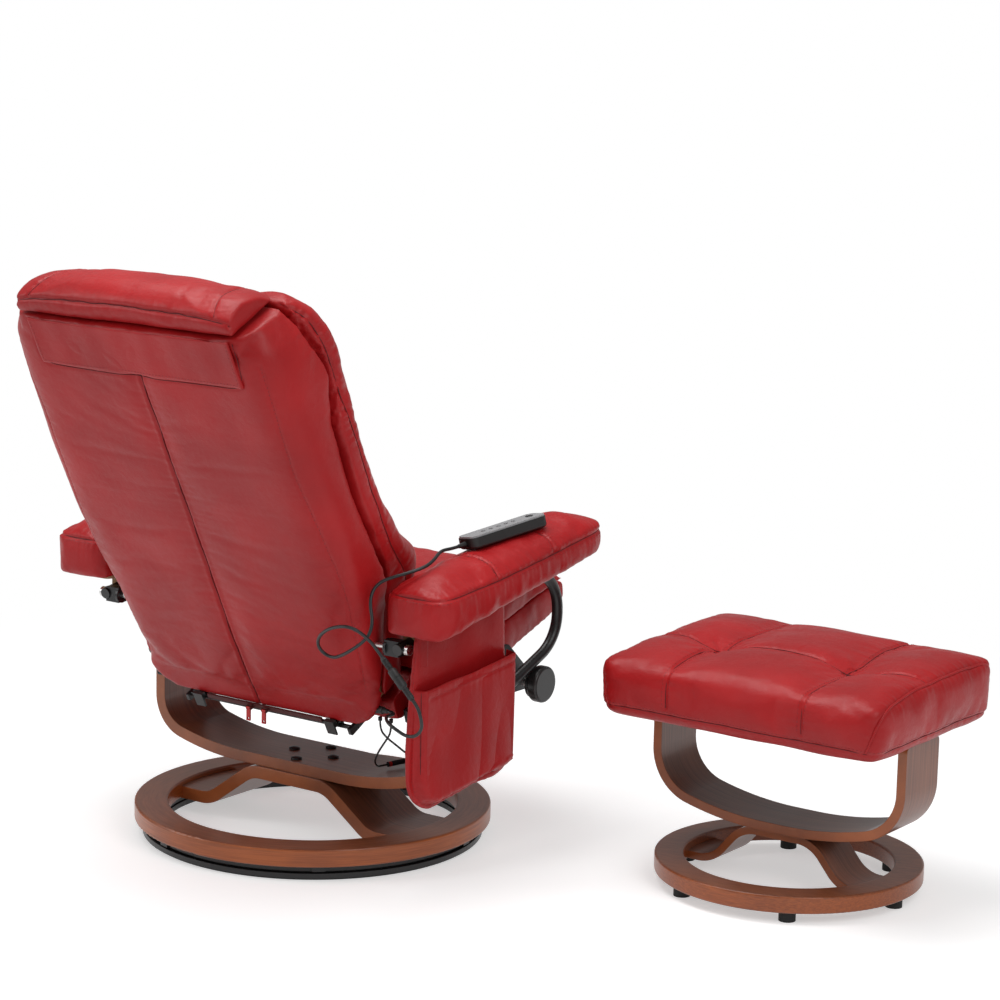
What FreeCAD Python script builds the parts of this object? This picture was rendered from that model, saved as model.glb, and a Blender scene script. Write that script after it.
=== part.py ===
import FreeCAD, Part
import math
import os

from FreeCAD import Vector

os.makedirs("parts", exist_ok=True)

# A reclining foot-massage chair on a swivelling wooden base, with its footstool. All sizes are millimetres.
# +Z is up, the chair faces -Y, the sitter's right is -X, and the origin is where the swivel axis meets the
# floor. Sizes come first, piece by piece, and every shape below is worked out from them.

# Turntable: a steel lower ring on a rubber band, a ring of balls, and a steel upper ring with six clips.
floor_band_height = 3.0
floor_band_inset = 5.0
lower_ring_radius = 296.0
lower_ring_width = 34.0
lower_ring_height = 9.0
turntable_gap = 2.0
upper_ring_radius = 290.0
upper_ring_width = 26.0
upper_ring_height = 12.0
ball_radius = 4.0
ball_play = 0.3
ball_count = 24
clip_count = 6
clip_first_angle = 11.0
clip_width = 22.0
clip_thickness = 7.0
clip_height = 9.0

# Laminated wooden ring, and the bent bridge that is let into its inner wall.
base_ring_radius = 310.0
base_ring_width = 58.0
base_ring_height = 31.0
base_ring_rounding = 3.5
bridge_thickness = 22.0
bridge_width = 144.0
bridge_flat_half = 82.0
bridge_foot_half = 176.0
bridge_top = 116.0
bridge_let_in = 8.0
bridge_bend = 60.0

# U-shaped bent frame that carries the seat and the arms.
frame_half_width = 308.0
frame_thickness = 20.0
frame_depth = 132.0
frame_top_margin = 15.0
frame_flat_half = 109.0
frame_corner_radius = 73.0
frame_belly_angle = 15.0
frame_end_rounding = 14.0

# Four bolts with domed caps through the frame and the bridge.
bolt_side_place = 43.5
bolt_row_place = 47.5
bolt_radius = 4.0
bolt_head_radius = 7.0
bolt_head_height = 2.2
bolt_play = 0.3
cap_radius = 9.5
cap_wall_height = 3.0
cap_dome_height = 2.2

# Slide rails between the frame's legs, their cross tubes, and the runners under the seat.
slide_angle = 16.0
rail_rise = 1.0
rail_outer_height = 29.0
rail_depth = 18.0
rail_sheet = 2.5
rail_rear = 92.0
rail_front = 172.0
runner_play = 0.5
runner_rear = 84.0
runner_front = 100.0
cross_tube_radius = 8.0
cross_tube_place = 146.0
cross_tube_gap = 4.0
rod_radius = 4.0
rod_half_length = 182.0
rod_depth = 8.0
rod_height = 264.0
rod_ear_thickness = 6.0
rod_ear_reach = 10.0
rod_ear_clearance = 6.0
rod_ear_length = 42.0

# Tension knobs on a bracket in front of each rail.
knob_radius = 32.0
knob_rim = 19.0
knob_dome = 8.0
knob_place_front = 210.0
knob_drop = 10.0
knob_stud_radius = 5.0
knob_stud_play = 0.05
knob_offset = 23.0
knob_bracket_thickness = 4.0
knob_bracket_margin = 17.0
knob_nut_height = 6.0
knob_nut_radius = 9.0
knob_rounding = 5.0
knob_neck_radius = 26.0
knob_neck_length = 7.0

# Bent steel arm tubes.
arm_tube_radius = 9.5
arm_tube_wall = 2.0
arm_tube_bend = 74.0
arm_tube_rear = 180.0
arm_tube_front = 259.0
arm_tube_rise = 120.0
arm_tube_chin_rise = 60.0
arm_tube_low_height = 285.0
arm_tube_knee = 134.0
arm_tube_foot = 60.0
arm_tube_splay = 10.0
arm_tube_toe_in = 2.0
arm_tube_gap = 0.5
arm_slope = 10.4
tube_cap_length = 5.0

# Padded armrests on plywood boards.
armrest_inner = 297.0
armrest_width = 130.0
armrest_rear = 207.0
armrest_length = 486.0
armrest_base_rise = 149.0
armrest_rise = 94.0
armrest_side_height = 63.0
armrest_crown = 38.0
armrest_rear_corner = 34.0
armrest_front_corner = 58.0
arm_board_inner_inset = 15.0
arm_board_outer_inset = 36.0
arm_board_thickness = 12.0
arm_board_rear = 176.0
arm_board_front = 240.0
arm_saddle_width = 26.0
arm_saddle_length = 44.0
arm_saddle_rear = 130.0
arm_saddle_front = 120.0

# Bolts through tube, frame leg and rail.
leg_bolt_front = 45.0
leg_bolt_rear = 25.0

# Reclining pivots, in the back's own directions: depth forward of the rear face, and height up along it.
recline_lean = 27.7
back_foot = 3.65
back_drop = 285.0
pivot_depth = 38.7
pivot_height = 436.0
pivot_radius = 5.0
pivot_play = 0.05
pivot_reach = 42.0
pivot_head_radius = 9.0
pivot_head_height = 7.0
pivot_head_gap = 0.3
lobe_radius = 14.0
lobe_thickness = 5.0
lobe_gap = 1.0
bracket_height = 26.0
bracket_depth = 20.0

# Back: a wrapped shell, a board inside it, and the front cushion with two long seams.
back_bottom = 326.0
back_height = 720.0
back_half_width = 290.0
back_depth = 210.0
back_rear_corner = 44.0
back_rear_crown = 3.0
back_front_corner = 40.0
back_seam_half = 150.0
back_seam_dip = 14.0
back_panel_crown = 9.0
shell_thickness = 30.0
shell_side_half = 245.0
shell_top_margin = 36.0
lip_bottom = 274.0
lip_corner = 85.0
lip_rounding = 29.0
board_thickness = 18.0

# Head cushion, rear flap, zip and its two pulls.
head_half_width = 241.0
head_height = 54.0
head_depth = 136.0
head_rear_gap = 4.0
flap_half_width = 211.0
flap_height = 85.0
flap_thickness = 6.0
zip_half_length = 126.0
zip_width = 8.0
zip_thickness = 4.0
zip_slider_width = 10.0
zip_slider_thickness = 4.0
zip_pin_radius = 1.2
zip_pin_length = 12.0
zip_pull_left_place = 28.0
zip_pull_right_place = -6.0
zip_pull_length = 22.0
zip_pull_hole = 2.0
zip_pull_width = 8.0
zip_pull_thickness = 3.0
zip_pull_head = 2.6
zip_pull_play = 0.3

# Slotted clips on the back's lower edge, which hold the seat's rear rod.
hinge_clip_place = 145.0
hinge_clip_width = 20.0
hinge_clip_wall = 3.0
hinge_clip_rise = 8.0
hinge_slot_play = 1.4
hinge_slot_sway = 8.0
hinge_slot_depth = 14.0

# Seat: an upper mattress layer on an upholstered lower box.
seat_rear = 112.0
seat_length = 500.0
seat_drop = 35.0
seat_height = 200.0
seat_half_width = 268.0
seat_box_half_width = 258.0
seat_seam_half = 150.0
seat_crown = 15.0
seat_seam_dip = 6.0
seat_draw_in = 12.0

# Hanging side pocket on the sitter's right armrest.
pocket_inner = 346.0
pocket_thickness = 29.0
pocket_cloth = 3.0
pocket_rear = 190.0
pocket_length = 283.0
pocket_drop = 160.0
pocket_opening_rise = 67.0
pocket_rear_corner = 62.0
pocket_front_corner = 22.0
pocket_front_lift = 34.0
pocket_top_inset = 20.0
pocket_front_inset = 27.0
pocket_gap = 0.3
strap_thickness = 3.0
strap_width = 26.0
strap_length = 52.0

# Handset, lying on the right armrest.
handset_length = 170.0
handset_width = 46.0
handset_height = 22.0
handset_rounding = 5.0
handset_corner = 14.0
handset_from_middle = 349.0
handset_forward = 58.0
handset_rise = 145.0
handset_heading = -12.0
handset_pitch = -7.5
handset_roll = 9.0
handset_face_thickness = 3.0
handset_face_inset = 1.5
handset_bed_gap = 0.3
key_radius = 3.6
key_height = 2.6
key_travel = 1.0
key_play = 0.3
key_spacing = 17.0
key_first = 42.0
key_count = 5
power_key_radius = 6.5
power_key_place = 62.0
relief_radius = 5.0
relief_length = 14.0
relief_drop = 12.0

# Handset cord, its connector and tail, and the loose cable loop below the seat.
cord_radius = 2.8
cord_run_share = 0.45
cable_radius = 1.7
connector_radius = 7.5
connector_neck_radius = 4.2
connector_neck_length = 15.0
connector_start_side = 345.0
connector_start_depth = 241.0
connector_start_rise = 109.0
connector_end_side = 388.0
connector_end_depth = 245.0
connector_end_rise = 72.0
gland_radius = 6.5
gland_length = 30.0
gland_reach = 11.33
gland_height = 312.0
gland_depth = 15.0
cable_joint_radius = 4.5
cable_joint_start_side = 167.0
cable_joint_start_depth = 6.0
cable_joint_start_lift = 11.5
cable_joint_end_side = 182.0
cable_joint_end_depth = 28.0
cable_joint_end_lift = 14.0
cable_gland_radius = 3.5
cable_gland_length = 6.0
cable_gland_outer = 236.0
cable_gland_inner = 213.0
cable_gland_place = 88.0
cord_end_run = 14.0
cable_end_run = 16.0

# Routes of the cords, as the photograph shows them. The third number is the height above the arm tubes' foot
# for the upper two, and the share of the way from the U-frame's middle up to the seat's underside for the
# cable loop. The ends that aren't listed come from what they join.
handset_cord_route = (
    (-323, 70, 267),
    (-333, 96, 266),
    (-347, 124, 264),
    (-353, 150, 258),
    (-343, 173, 251),
    (-325, 192, 244),
    (-306, 207, 236),
    (-299, 220, 225),
    (-299, 229, 211),
    (-303, 234, 195),
    (-310, 238, 180),
    (-313, 243, 165),
    (-309, 248, 150),
    (-295, 252, 136),
    (-274, 250, 122),
    (-250, 244, 109),
    (-232, 240, 103),
    (-217, 241, 106),
    (-208, 247, 117),
    (-212, 255, 131),
    (-225, 264, 144),
    (-242, 272, 155),
    (-259, 279, 163),
    (-277, 284, 169),
    (-293, 285, 172),
    (-304, 281, 170),
    (-311, 275, 165),
    (-316, 266, 157),
    (-318, 256, 148),
    (-319, 246, 139),
)
tail_route = (
    (-416, 247, 40),
    (-417, 244, 27),
    (-415, 241, 16),
    (-407, 240, 5),
    (-395, 240, -1),
    (-380, 240, -1),
    (-364, 241, 6),
    (-349, 240, 12),
    (-334, 228, 14),
    (-318, 208, 12),
    (-304, 184, 7),
    (-295, 163, 3),
    (-286, 146, 0),
)
cable_route_down = (
    (-226, 84, 0.74),
    (-211, 79, 0.59),
    (-195, 70, 0.44),
    (-179, 57, 0.28),
    (-169, 42, 0.18),
    (-163, 28, 0.11),
)
cable_route_up = (
    (-203, -53, 0.17),
    (-221, -52, 0.19),
    (-236, -40, 0.22),
    (-247, -20, 0.25),
    (-253, 3, 0.29),
    (-256, 27, 0.34),
    (-255, 48, 0.42),
    (-248, 65, 0.53),
    (-238, 76, 0.64),
    (-224, 83, 0.74),
)

# Footstool, centred beside and behind the chair.
stool_side_place = 800.0
stool_front_place = 271.0
stool_ring_radius = 224.0
stool_ring_width = 49.0
stool_ring_bottom = 18.0
stool_ring_height = 29.0
stool_foot_radius = 14.0
stool_foot_count = 6
stool_bridge_thickness = 13.0
stool_bridge_width = 90.0
stool_bridge_flat_half = 67.0
stool_bridge_foot_half = 122.0
stool_bridge_top = 98.0
stool_bridge_bend = 60.0
stool_bridge_foot_lift = 1.0
stool_frame_half_width = 239.0
stool_frame_thickness = 16.0
stool_frame_depth = 110.0
stool_frame_flat_half = 20.0
stool_frame_corner_radius = 90.0
stool_board_thickness = 12.0
stool_board_end_inset = 22.0
stool_board_side_inset = 44.0
stool_cushion_under = 26.0
stool_cushion_end_lift = 20.0
stool_cushion_half_length = 263.0
stool_cushion_half_width = 200.0
stool_cushion_bottom = 300.0
stool_cushion_rear_edge = 74.0
stool_cushion_front_edge = 89.0
stool_cushion_crown = 20.0
stool_cushion_corner = 32.0
stool_tuft_place = 20.0

# How far a cutting tool overruns what it cuts, and the shortest straight run that is drawn.
overrun = 5.0
shortest_run = 0.01

# Places and heights that follow from the sizes above.
frame_top = arm_tube_low_height + frame_top_margin
rail_middle_height = arm_tube_low_height + rail_rise
knob_place_height = arm_tube_low_height - knob_drop
arm_tube_rear_height = arm_tube_low_height + arm_tube_rise
arm_tube_chin_height = arm_tube_low_height + arm_tube_chin_rise
armrest_rear_height = arm_tube_low_height + armrest_base_rise
back_level = arm_tube_low_height - back_drop
shell_top = back_bottom + back_height - shell_top_margin
flap_top = back_bottom + back_height
flap_bottom = flap_top - flap_height
seat_bottom = arm_tube_low_height - seat_drop
pocket_bottom = arm_tube_low_height - pocket_drop
pocket_opening_height = arm_tube_low_height + pocket_opening_rise
handset_top_height = armrest_rear_height + handset_rise
belly_top = bridge_top + frame_thickness
leg_bolt_places = (-leg_bolt_front, leg_bolt_rear)
lower_ring_top = floor_band_height + lower_ring_height
upper_ring_bottom = lower_ring_top + turntable_gap
base_ring_bottom = upper_ring_bottom + upper_ring_height
frame_inner_half = frame_half_width - frame_thickness
ball_circle = upper_ring_radius - upper_ring_width / 2
arm_tube_place = frame_half_width + arm_tube_radius + arm_tube_gap
quarter_sagitta_share = 1 - math.cos(math.radians(45))

X_AXIS = Vector(1, 0, 0)
Y_AXIS = Vector(0, 1, 0)
Z_AXIS = Vector(0, 0, 1)
ORIGIN = Vector(0, 0, 0)


def save(name, shape):
    """Write one piece of the chair as its own file."""
    print(name, "valid" if shape.isValid() else "NOT VALID", len(shape.Solids), round(shape.Volume))
    shape.exportStep("parts/" + name + ".step")


def block(x_low, x_high, y_low, y_high, z_low, z_high):
    """Box between two corners."""
    return Part.makeBox(x_high - x_low, y_high - y_low, z_high - z_low, Vector(x_low, y_low, z_low))


def rod(radius, start, end):
    """Round bar from one point to another."""
    along = end - start
    return Part.makeCylinder(radius, along.Length, start, along)


def ring(inner_radius, outer_radius, bottom, height):
    """Flat ring about the vertical axis."""
    outer = Part.makeCylinder(outer_radius, height, Vector(0, 0, bottom))
    return outer.cut(Part.makeCylinder(inner_radius, height, Vector(0, 0, bottom)))


def around(shape, count, first_angle):
    """Copies of a shape, evenly spaced about the vertical axis."""
    copies = []
    for number in range(count):
        copy = shape.copy()
        copy.rotate(ORIGIN, Z_AXIS, first_angle + 360.0 * number / count)
        copies.append(copy)
    return Part.makeCompound(copies)


def joined(shapes):
    """One clean solid made of several that overlap or touch."""
    return shapes[0].multiFuse(shapes[1:]).removeSplitter()


def mirrored(shape):
    """The same piece for the other side of the chair."""
    return shape.mirror(ORIGIN, X_AXIS)


def both_sides(shape):
    """A piece and its mirror image together."""
    return Part.makeCompound([shape, mirrored(shape)])


def corner_arc(before, point, after, radius):
    """Start, middle, end and centre of the arc that rounds one corner of a path."""
    backward = (before - point).normalize()
    onward = (after - point).normalize()
    half_turn = (math.pi - backward.getAngle(onward)) / 2
    reach = radius * math.tan(half_turn)
    bisector = (backward + onward).normalize()
    centre = point + bisector * (radius / math.cos(half_turn))
    return point + backward * reach, centre - bisector * radius, point + onward * reach, centre


def path_wire(points, radii):
    """Straight runs through the points, joined by tangent arcs."""
    edges = []
    last = points[0]
    for before, point, after, radius in zip(points, points[1:], points[2:], radii):
        start, middle, end, centre = corner_arc(before, point, after, radius)
        if (start - last).Length > shortest_run:
            edges.append(Part.LineSegment(last, start).toShape())
        edges.append(Part.Arc(start, middle, end).toShape())
        last = end
    edges.append(Part.LineSegment(last, points[-1]).toShape())
    return Part.Wire(edges)


def tube_along(wire, start, direction, radius):
    """Round bar swept along a path."""
    profile = Part.Wire([Part.makeCircle(radius, start, direction)])
    return wire.makePipeShell([profile], True, False)


def outline(points, radii):
    """Closed flat outline whose corners are rounded by the radii, a zero leaving a corner sharp."""
    count = len(points)
    edges = []
    starts = []
    ends = []
    for number, radius in enumerate(radii):
        point = points[number]
        if radius:
            after = points[(number + 1) % count]
            start, middle, end, centre = corner_arc(points[number - 1], point, after, radius)
            edges.append(Part.Arc(start, middle, end).toShape())
        else:
            start, end = point, point
        starts.append(start)
        ends.append(end)
    for number in range(count):
        if (starts[number] - ends[number - 1]).Length > shortest_run:
            edges.append(Part.LineSegment(ends[number - 1], starts[number]).toShape())
    return Part.Wire(Part.__sortEdges__(edges))


def plate(points, radii, thickness):
    """Flat plate with a rounded outline, as thick as the vector says."""
    return Part.Face(outline(points, radii)).extrude(thickness)


def section(points, bulges, facing):
    """Closed outline of lines and shallow arcs, each bulging outward by its own height."""
    edges = []
    for start, end, bulge in zip(points, points[1:] + points[:1], bulges):
        if bulge:
            outward = (end - start).cross(facing).normalize()
            middle = (start + end) / 2 + outward * bulge
            edges.append(Part.Arc(start, middle, end).toShape())
        else:
            edges.append(Part.LineSegment(start, end).toShape())
    return Part.Wire(edges)


def bent_sheet(points, radii, thickness, depth):
    """Plywood of one thickness, bent along a path in the XZ plane and as deep as it is along Y."""
    edges = []
    tips = []
    for offset in (thickness / 2, -thickness / 2):
        side = []
        first = (points[1] - points[0]).normalize()
        last = points[0] + Vector(-first.z, 0, first.x) * offset
        tips.append(last)
        for before, point, after, radius in zip(points, points[1:], points[2:], radii):
            start, middle, end, centre = corner_arc(before, point, after, radius)
            inward = (point - before).normalize()
            onward = (after - point).normalize()
            left = Vector(-inward.z, 0, inward.x)
            turn = 1 if left.dot(centre - start) > 0 else -1
            radial = (middle - centre).normalize()
            start = start + left * offset
            middle = middle - radial * (offset * turn)
            end = end + Vector(-onward.z, 0, onward.x) * offset
            if (start - last).Length > shortest_run:
                side.append(Part.LineSegment(last, start).toShape())
            side.append(Part.Arc(start, middle, end).toShape())
            last = end
        final = (points[-1] - points[-2]).normalize()
        tip = points[-1] + Vector(-final.z, 0, final.x) * offset
        side.append(Part.LineSegment(last, tip).toShape())
        tips.append(tip)
        edges.extend(side)
    edges.append(Part.LineSegment(tips[0], tips[2]).toShape())
    edges.append(Part.LineSegment(tips[1], tips[3]).toShape())
    face = Part.Face(Part.Wire(Part.__sortEdges__(edges)))
    sheet = face.extrude(Vector(0, depth, 0))
    sheet.translate(Vector(0, -depth / 2, 0))
    return sheet


def bridge(flat_half, foot_half, reach, top, foot_middle, thickness, bend, depth):
    """Low arch: a flat top, two slopes, and feet that run outward into the ring."""
    middle = top - thickness / 2
    points = [
        Vector(-reach, 0, foot_middle),
        Vector(-foot_half, 0, foot_middle),
        Vector(-flat_half, 0, middle),
        Vector(flat_half, 0, middle),
        Vector(foot_half, 0, foot_middle),
        Vector(reach, 0, foot_middle),
    ]
    return bent_sheet(points, (bend, bend, bend, bend), thickness, depth)


def u_frame(half_width, bottom, top, thickness, flat_half, corner_radius, depth):
    """U of bent plywood: a shallow belly, two round corners and upright legs."""
    belly = math.radians(frame_belly_angle)
    middle_radius = corner_radius - thickness / 2
    corner_centre = half_width - corner_radius
    belly_end = corner_centre + corner_radius * math.sin(belly)
    belly_radius = (belly_end - flat_half) / math.sin(belly) - thickness / 2
    level = bottom + thickness / 2
    belly_corner = flat_half + belly_radius * math.tan(belly / 2)
    leg = half_width - thickness / 2
    knee = level + (leg - belly_corner) * math.tan(belly)
    points = [
        Vector(-leg, 0, top),
        Vector(-leg, 0, knee),
        Vector(-belly_corner, 0, level),
        Vector(belly_corner, 0, level),
        Vector(leg, 0, knee),
        Vector(leg, 0, top),
    ]
    radii = (middle_radius, belly_radius, belly_radius, middle_radius)
    sheet = bent_sheet(points, radii, thickness, depth)
    corners = [
        Vector(-half_width - overrun, -depth / 2, bottom - overrun),
        Vector(-half_width - overrun, depth / 2, bottom - overrun),
        Vector(-half_width - overrun, depth / 2, top),
        Vector(-half_width - overrun, -depth / 2, top),
    ]
    rounding = (0, 0, frame_end_rounding, frame_end_rounding)
    return sheet.common(plate(corners, rounding, X_AXIS * (2 * (half_width + overrun))))


# Turntable


def turntable():
    """The two steel rings with their ball groove, the balls, the clips and the rubber band underneath."""
    groove_height = lower_ring_top + turntable_gap / 2
    groove = Part.makeTorus(ball_circle, ball_radius + ball_play, Vector(0, 0, groove_height))
    lower_inner = lower_ring_radius - lower_ring_width
    lower = ring(lower_inner, lower_ring_radius, floor_band_height, lower_ring_height)
    upper_inner = upper_ring_radius - upper_ring_width
    upper = ring(upper_inner, upper_ring_radius, upper_ring_bottom, upper_ring_height)
    save("turntable_lower_ring", lower.cut(groove))
    save("turntable_upper_ring", upper.cut(groove))
    ball = Part.makeSphere(ball_radius, Vector(ball_circle, 0, groove_height - ball_play))
    save("turntable_balls", around(ball, ball_count, 0))
    band_outer = lower_ring_radius - floor_band_inset
    save("turntable_floor_band", ring(lower_inner + floor_band_inset, band_outer, 0, floor_band_height))
    clip_bottom = upper_ring_bottom + (upper_ring_height - clip_height) / 2
    band = ring(upper_ring_radius, upper_ring_radius + clip_thickness, clip_bottom, clip_height)
    reach = upper_ring_radius + clip_thickness + overrun
    clip = band.common(block(0, reach, -clip_width / 2, clip_width / 2, clip_bottom, base_ring_bottom))
    save("turntable_clips", around(clip, clip_count, clip_first_angle))


# Wooden base of the chair


def wooden_base():
    """Ring, bridge and U-frame, each of bent or ring-cut plywood."""
    inner = base_ring_radius - base_ring_width
    body = ring(inner, base_ring_radius, base_ring_bottom, base_ring_height)
    body = body.makeFillet(base_ring_rounding, body.Edges)
    foot_middle = base_ring_bottom + bridge_thickness / 2
    let_in = inner + bridge_let_in
    arch = bridge(
        bridge_flat_half,
        bridge_foot_half,
        let_in,
        bridge_top,
        foot_middle,
        bridge_thickness,
        bridge_bend,
        bridge_width,
    )
    arch = arch.common(Part.makeCylinder(let_in, bridge_top))
    body = body.cut(arch)
    save("base_ring", body)
    frame = u_frame(
        frame_half_width,
        bridge_top,
        frame_top,
        frame_thickness,
        frame_flat_half,
        frame_corner_radius,
        frame_depth,
    )
    caps = []
    bolts = []
    for x, y in ((1, 0), (0, -1), (0, 1), (-1, 0)):
        x = x * bolt_side_place
        y = y * bolt_row_place
        head = bridge_top + frame_thickness
        foot = bridge_top - bridge_thickness
        place = Vector(x, y, head)
        hole = rod(bolt_radius + bolt_play, Vector(x, y, foot - overrun), Vector(x, y, head + overrun))
        arch = arch.cut(hole)
        frame = frame.cut(hole)
        shank = rod(bolt_radius, Vector(x, y, foot - bolt_head_height), Vector(x, y, head))
        nut = rod(bolt_head_radius, Vector(x, y, foot - bolt_head_height), Vector(x, y, foot))
        screw_head = rod(bolt_head_radius, place, Vector(x, y, head + bolt_head_height))
        bolts.append(joined([shank, nut, screw_head]))
        dome_radius = (cap_radius**2 + cap_dome_height**2) / (2 * cap_dome_height)
        wall_top = head + cap_wall_height
        dome = Part.makeSphere(dome_radius, Vector(x, y, wall_top + cap_dome_height - dome_radius))
        cap = Part.makeCylinder(cap_radius, cap_wall_height + cap_dome_height, place).common(dome)
        room = Part.makeCylinder(bolt_head_radius + bolt_play, bolt_head_height + bolt_play, place)
        caps.append(cap.cut(room))
    save("base_bridge", arch)
    for y in leg_bolt_places:
        start = Vector(-frame_half_width - overrun, y, arm_tube_low_height)
        end = Vector(frame_half_width + overrun, y, arm_tube_low_height)
        frame = frame.cut(rod(bolt_radius + bolt_play, start, end))
        outside = arm_tube_place + arm_tube_radius
        inside = frame_inner_half - rail_sheet
        head_end = outside + bolt_head_height
        head_start = Vector(outside, y, arm_tube_low_height)
        shank = rod(bolt_radius, Vector(inside, y, arm_tube_low_height), head_start)
        head = rod(bolt_head_radius, head_start, Vector(head_end, y, arm_tube_low_height))
        bolt = joined([shank, head])
        bolts.append(bolt)
        bolts.append(mirrored(bolt))
    save("u_frame", frame)
    save("frame_bolts", Part.makeCompound(bolts))
    save("frame_bolt_caps", Part.makeCompound(caps))


# Slide rails, runners and cross tubes


def on_slide(shape):
    """Turn a piece drawn level into the slope that the seat slides along."""
    shape.rotate(ORIGIN, X_AXIS, -slide_angle)
    shape.translate(Vector(0, 0, rail_middle_height))
    return shape


def slide_rails():
    """A channel inside each frame leg, with the tension knob's bracket in front of it."""
    half = rail_outer_height / 2
    inner = frame_inner_half - rail_depth
    web = frame_inner_half - rail_sheet
    lip = half - rail_sheet
    channel = block(inner, frame_inner_half, -rail_front, rail_rear, -half, half)
    hollow = block(inner - overrun, web, -rail_front - overrun, rail_rear + overrun, -lip, lip)
    channel = on_slide(channel.cut(hollow))
    slope = math.tan(math.radians(slide_angle))
    rail_end = rail_front * math.cos(math.radians(slide_angle))
    end_height = rail_middle_height + rail_end * slope
    neck = rail_end - 3 * knob_bracket_margin
    tip = knob_place_front + knob_bracket_margin
    bracket_outline = [
        Vector(frame_inner_half, -neck, rail_middle_height + neck * slope - half),
        Vector(frame_inner_half, -neck, rail_middle_height + neck * slope + half),
        Vector(frame_inner_half, -rail_end, end_height + half),
        Vector(frame_inner_half, -tip, knob_place_height + knob_bracket_margin),
        Vector(frame_inner_half, -tip, knob_place_height - knob_bracket_margin),
        Vector(frame_inner_half, -rail_end, knob_place_height - knob_bracket_margin),
    ]
    corner = knob_bracket_margin / 2
    radii = (0, 0, corner, corner, corner, corner)
    bracket = plate(bracket_outline, radii, X_AXIS * knob_bracket_thickness)
    rail = joined([channel, bracket])
    stud_start = Vector(frame_inner_half - overrun, -knob_place_front, knob_place_height)
    stud_end = Vector(frame_half_width, -knob_place_front, knob_place_height)
    rail = rail.cut(rod(knob_stud_radius + knob_stud_play, stud_start, stud_end))
    for y in leg_bolt_places:
        start = Vector(web - overrun, y, arm_tube_low_height)
        end = Vector(frame_inner_half + overrun, y, arm_tube_low_height)
        rail = rail.cut(rod(bolt_radius + bolt_play, start, end))
    tube_height = seat_box_bottom(-cross_tube_place) - cross_tube_radius - cross_tube_gap
    start = Vector(-frame_inner_half, -cross_tube_place, tube_height)
    end = Vector(frame_inner_half, -cross_tube_place, tube_height)
    tube = rod(cross_tube_radius, start, end).cut(rod(cross_tube_radius - rail_sheet, start, end))
    save("side_rail_left", rail)
    save("side_rail_right", mirrored(rail))
    save("cross_tube", tube)


def knobs():
    """Stud, nut and the domed knob of each rail's tension."""
    face = frame_inner_half + knob_bracket_thickness
    knob_start = face + knob_offset
    bore_end = knob_start + knob_rim
    place = Vector(0, -knob_place_front, knob_place_height)
    stud_start = place + X_AXIS * (frame_inner_half - knob_nut_height)
    shank = rod(knob_stud_radius, stud_start, place + X_AXIS * bore_end)
    inner_nut = rod(knob_nut_radius, stud_start, place + X_AXIS * frame_inner_half)
    collar = rod(knob_nut_radius, place + X_AXIS * face, place + X_AXIS * (knob_start - knob_stud_play))
    save("knob_studs", both_sides(joined([shank, inner_nut, collar])))
    top = knob_start + knob_rim + knob_dome
    neck_end = knob_start + knob_neck_length
    body = rod(knob_radius, place + X_AXIS * neck_end, place + X_AXIS * top)
    body = body.makeFillet(knob_rounding, [edge for edge in body.Edges if len(edge.Vertexes) == 1])
    body = joined([body, rod(knob_neck_radius, place + X_AXIS * knob_start, place + X_AXIS * neck_end)])
    bore_start = place + X_AXIS * (knob_start - overrun)
    bore_stop = place + X_AXIS * (bore_end + knob_stud_play)
    body = body.cut(rod(knob_stud_radius + knob_stud_play, bore_start, bore_stop))
    save("tension_knob_left", body)
    save("tension_knob_right", mirrored(body))


# Arms


def arm_height(y, base):
    """Height of a line that starts at a rear height and rises to the front at the armrest's slope."""
    return base + (arm_tube_rear - y) * math.tan(math.radians(arm_slope))


def arm_tube_points():
    """Route of the left arm's tube, from its rear end over the front bend to its foot."""
    front_place = arm_tube_place + arm_tube_splay
    front_height = arm_height(-arm_tube_front, arm_tube_rear_height)
    return [
        Vector(arm_tube_place + arm_tube_toe_in, arm_tube_rear, arm_tube_rear_height),
        Vector(front_place, -arm_tube_front, front_height),
        Vector(front_place, -arm_tube_front, arm_tube_chin_height),
        Vector(arm_tube_place, -arm_tube_knee, arm_tube_low_height),
        Vector(arm_tube_place, arm_tube_foot, arm_tube_low_height),
    ]


def back_place(x, depth, height):
    """Place of a point given in the back's own directions: depth behind the rear face, and height up it."""
    lean = math.radians(recline_lean)
    y = back_foot + depth * math.cos(lean) + height * math.sin(lean)
    return Vector(x, y, back_level - depth * math.sin(lean) + height * math.cos(lean))


def pivot_place(x):
    """Where the reclining axis lies, at one distance from the middle."""
    return back_place(x, -pivot_depth, pivot_height)


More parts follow.
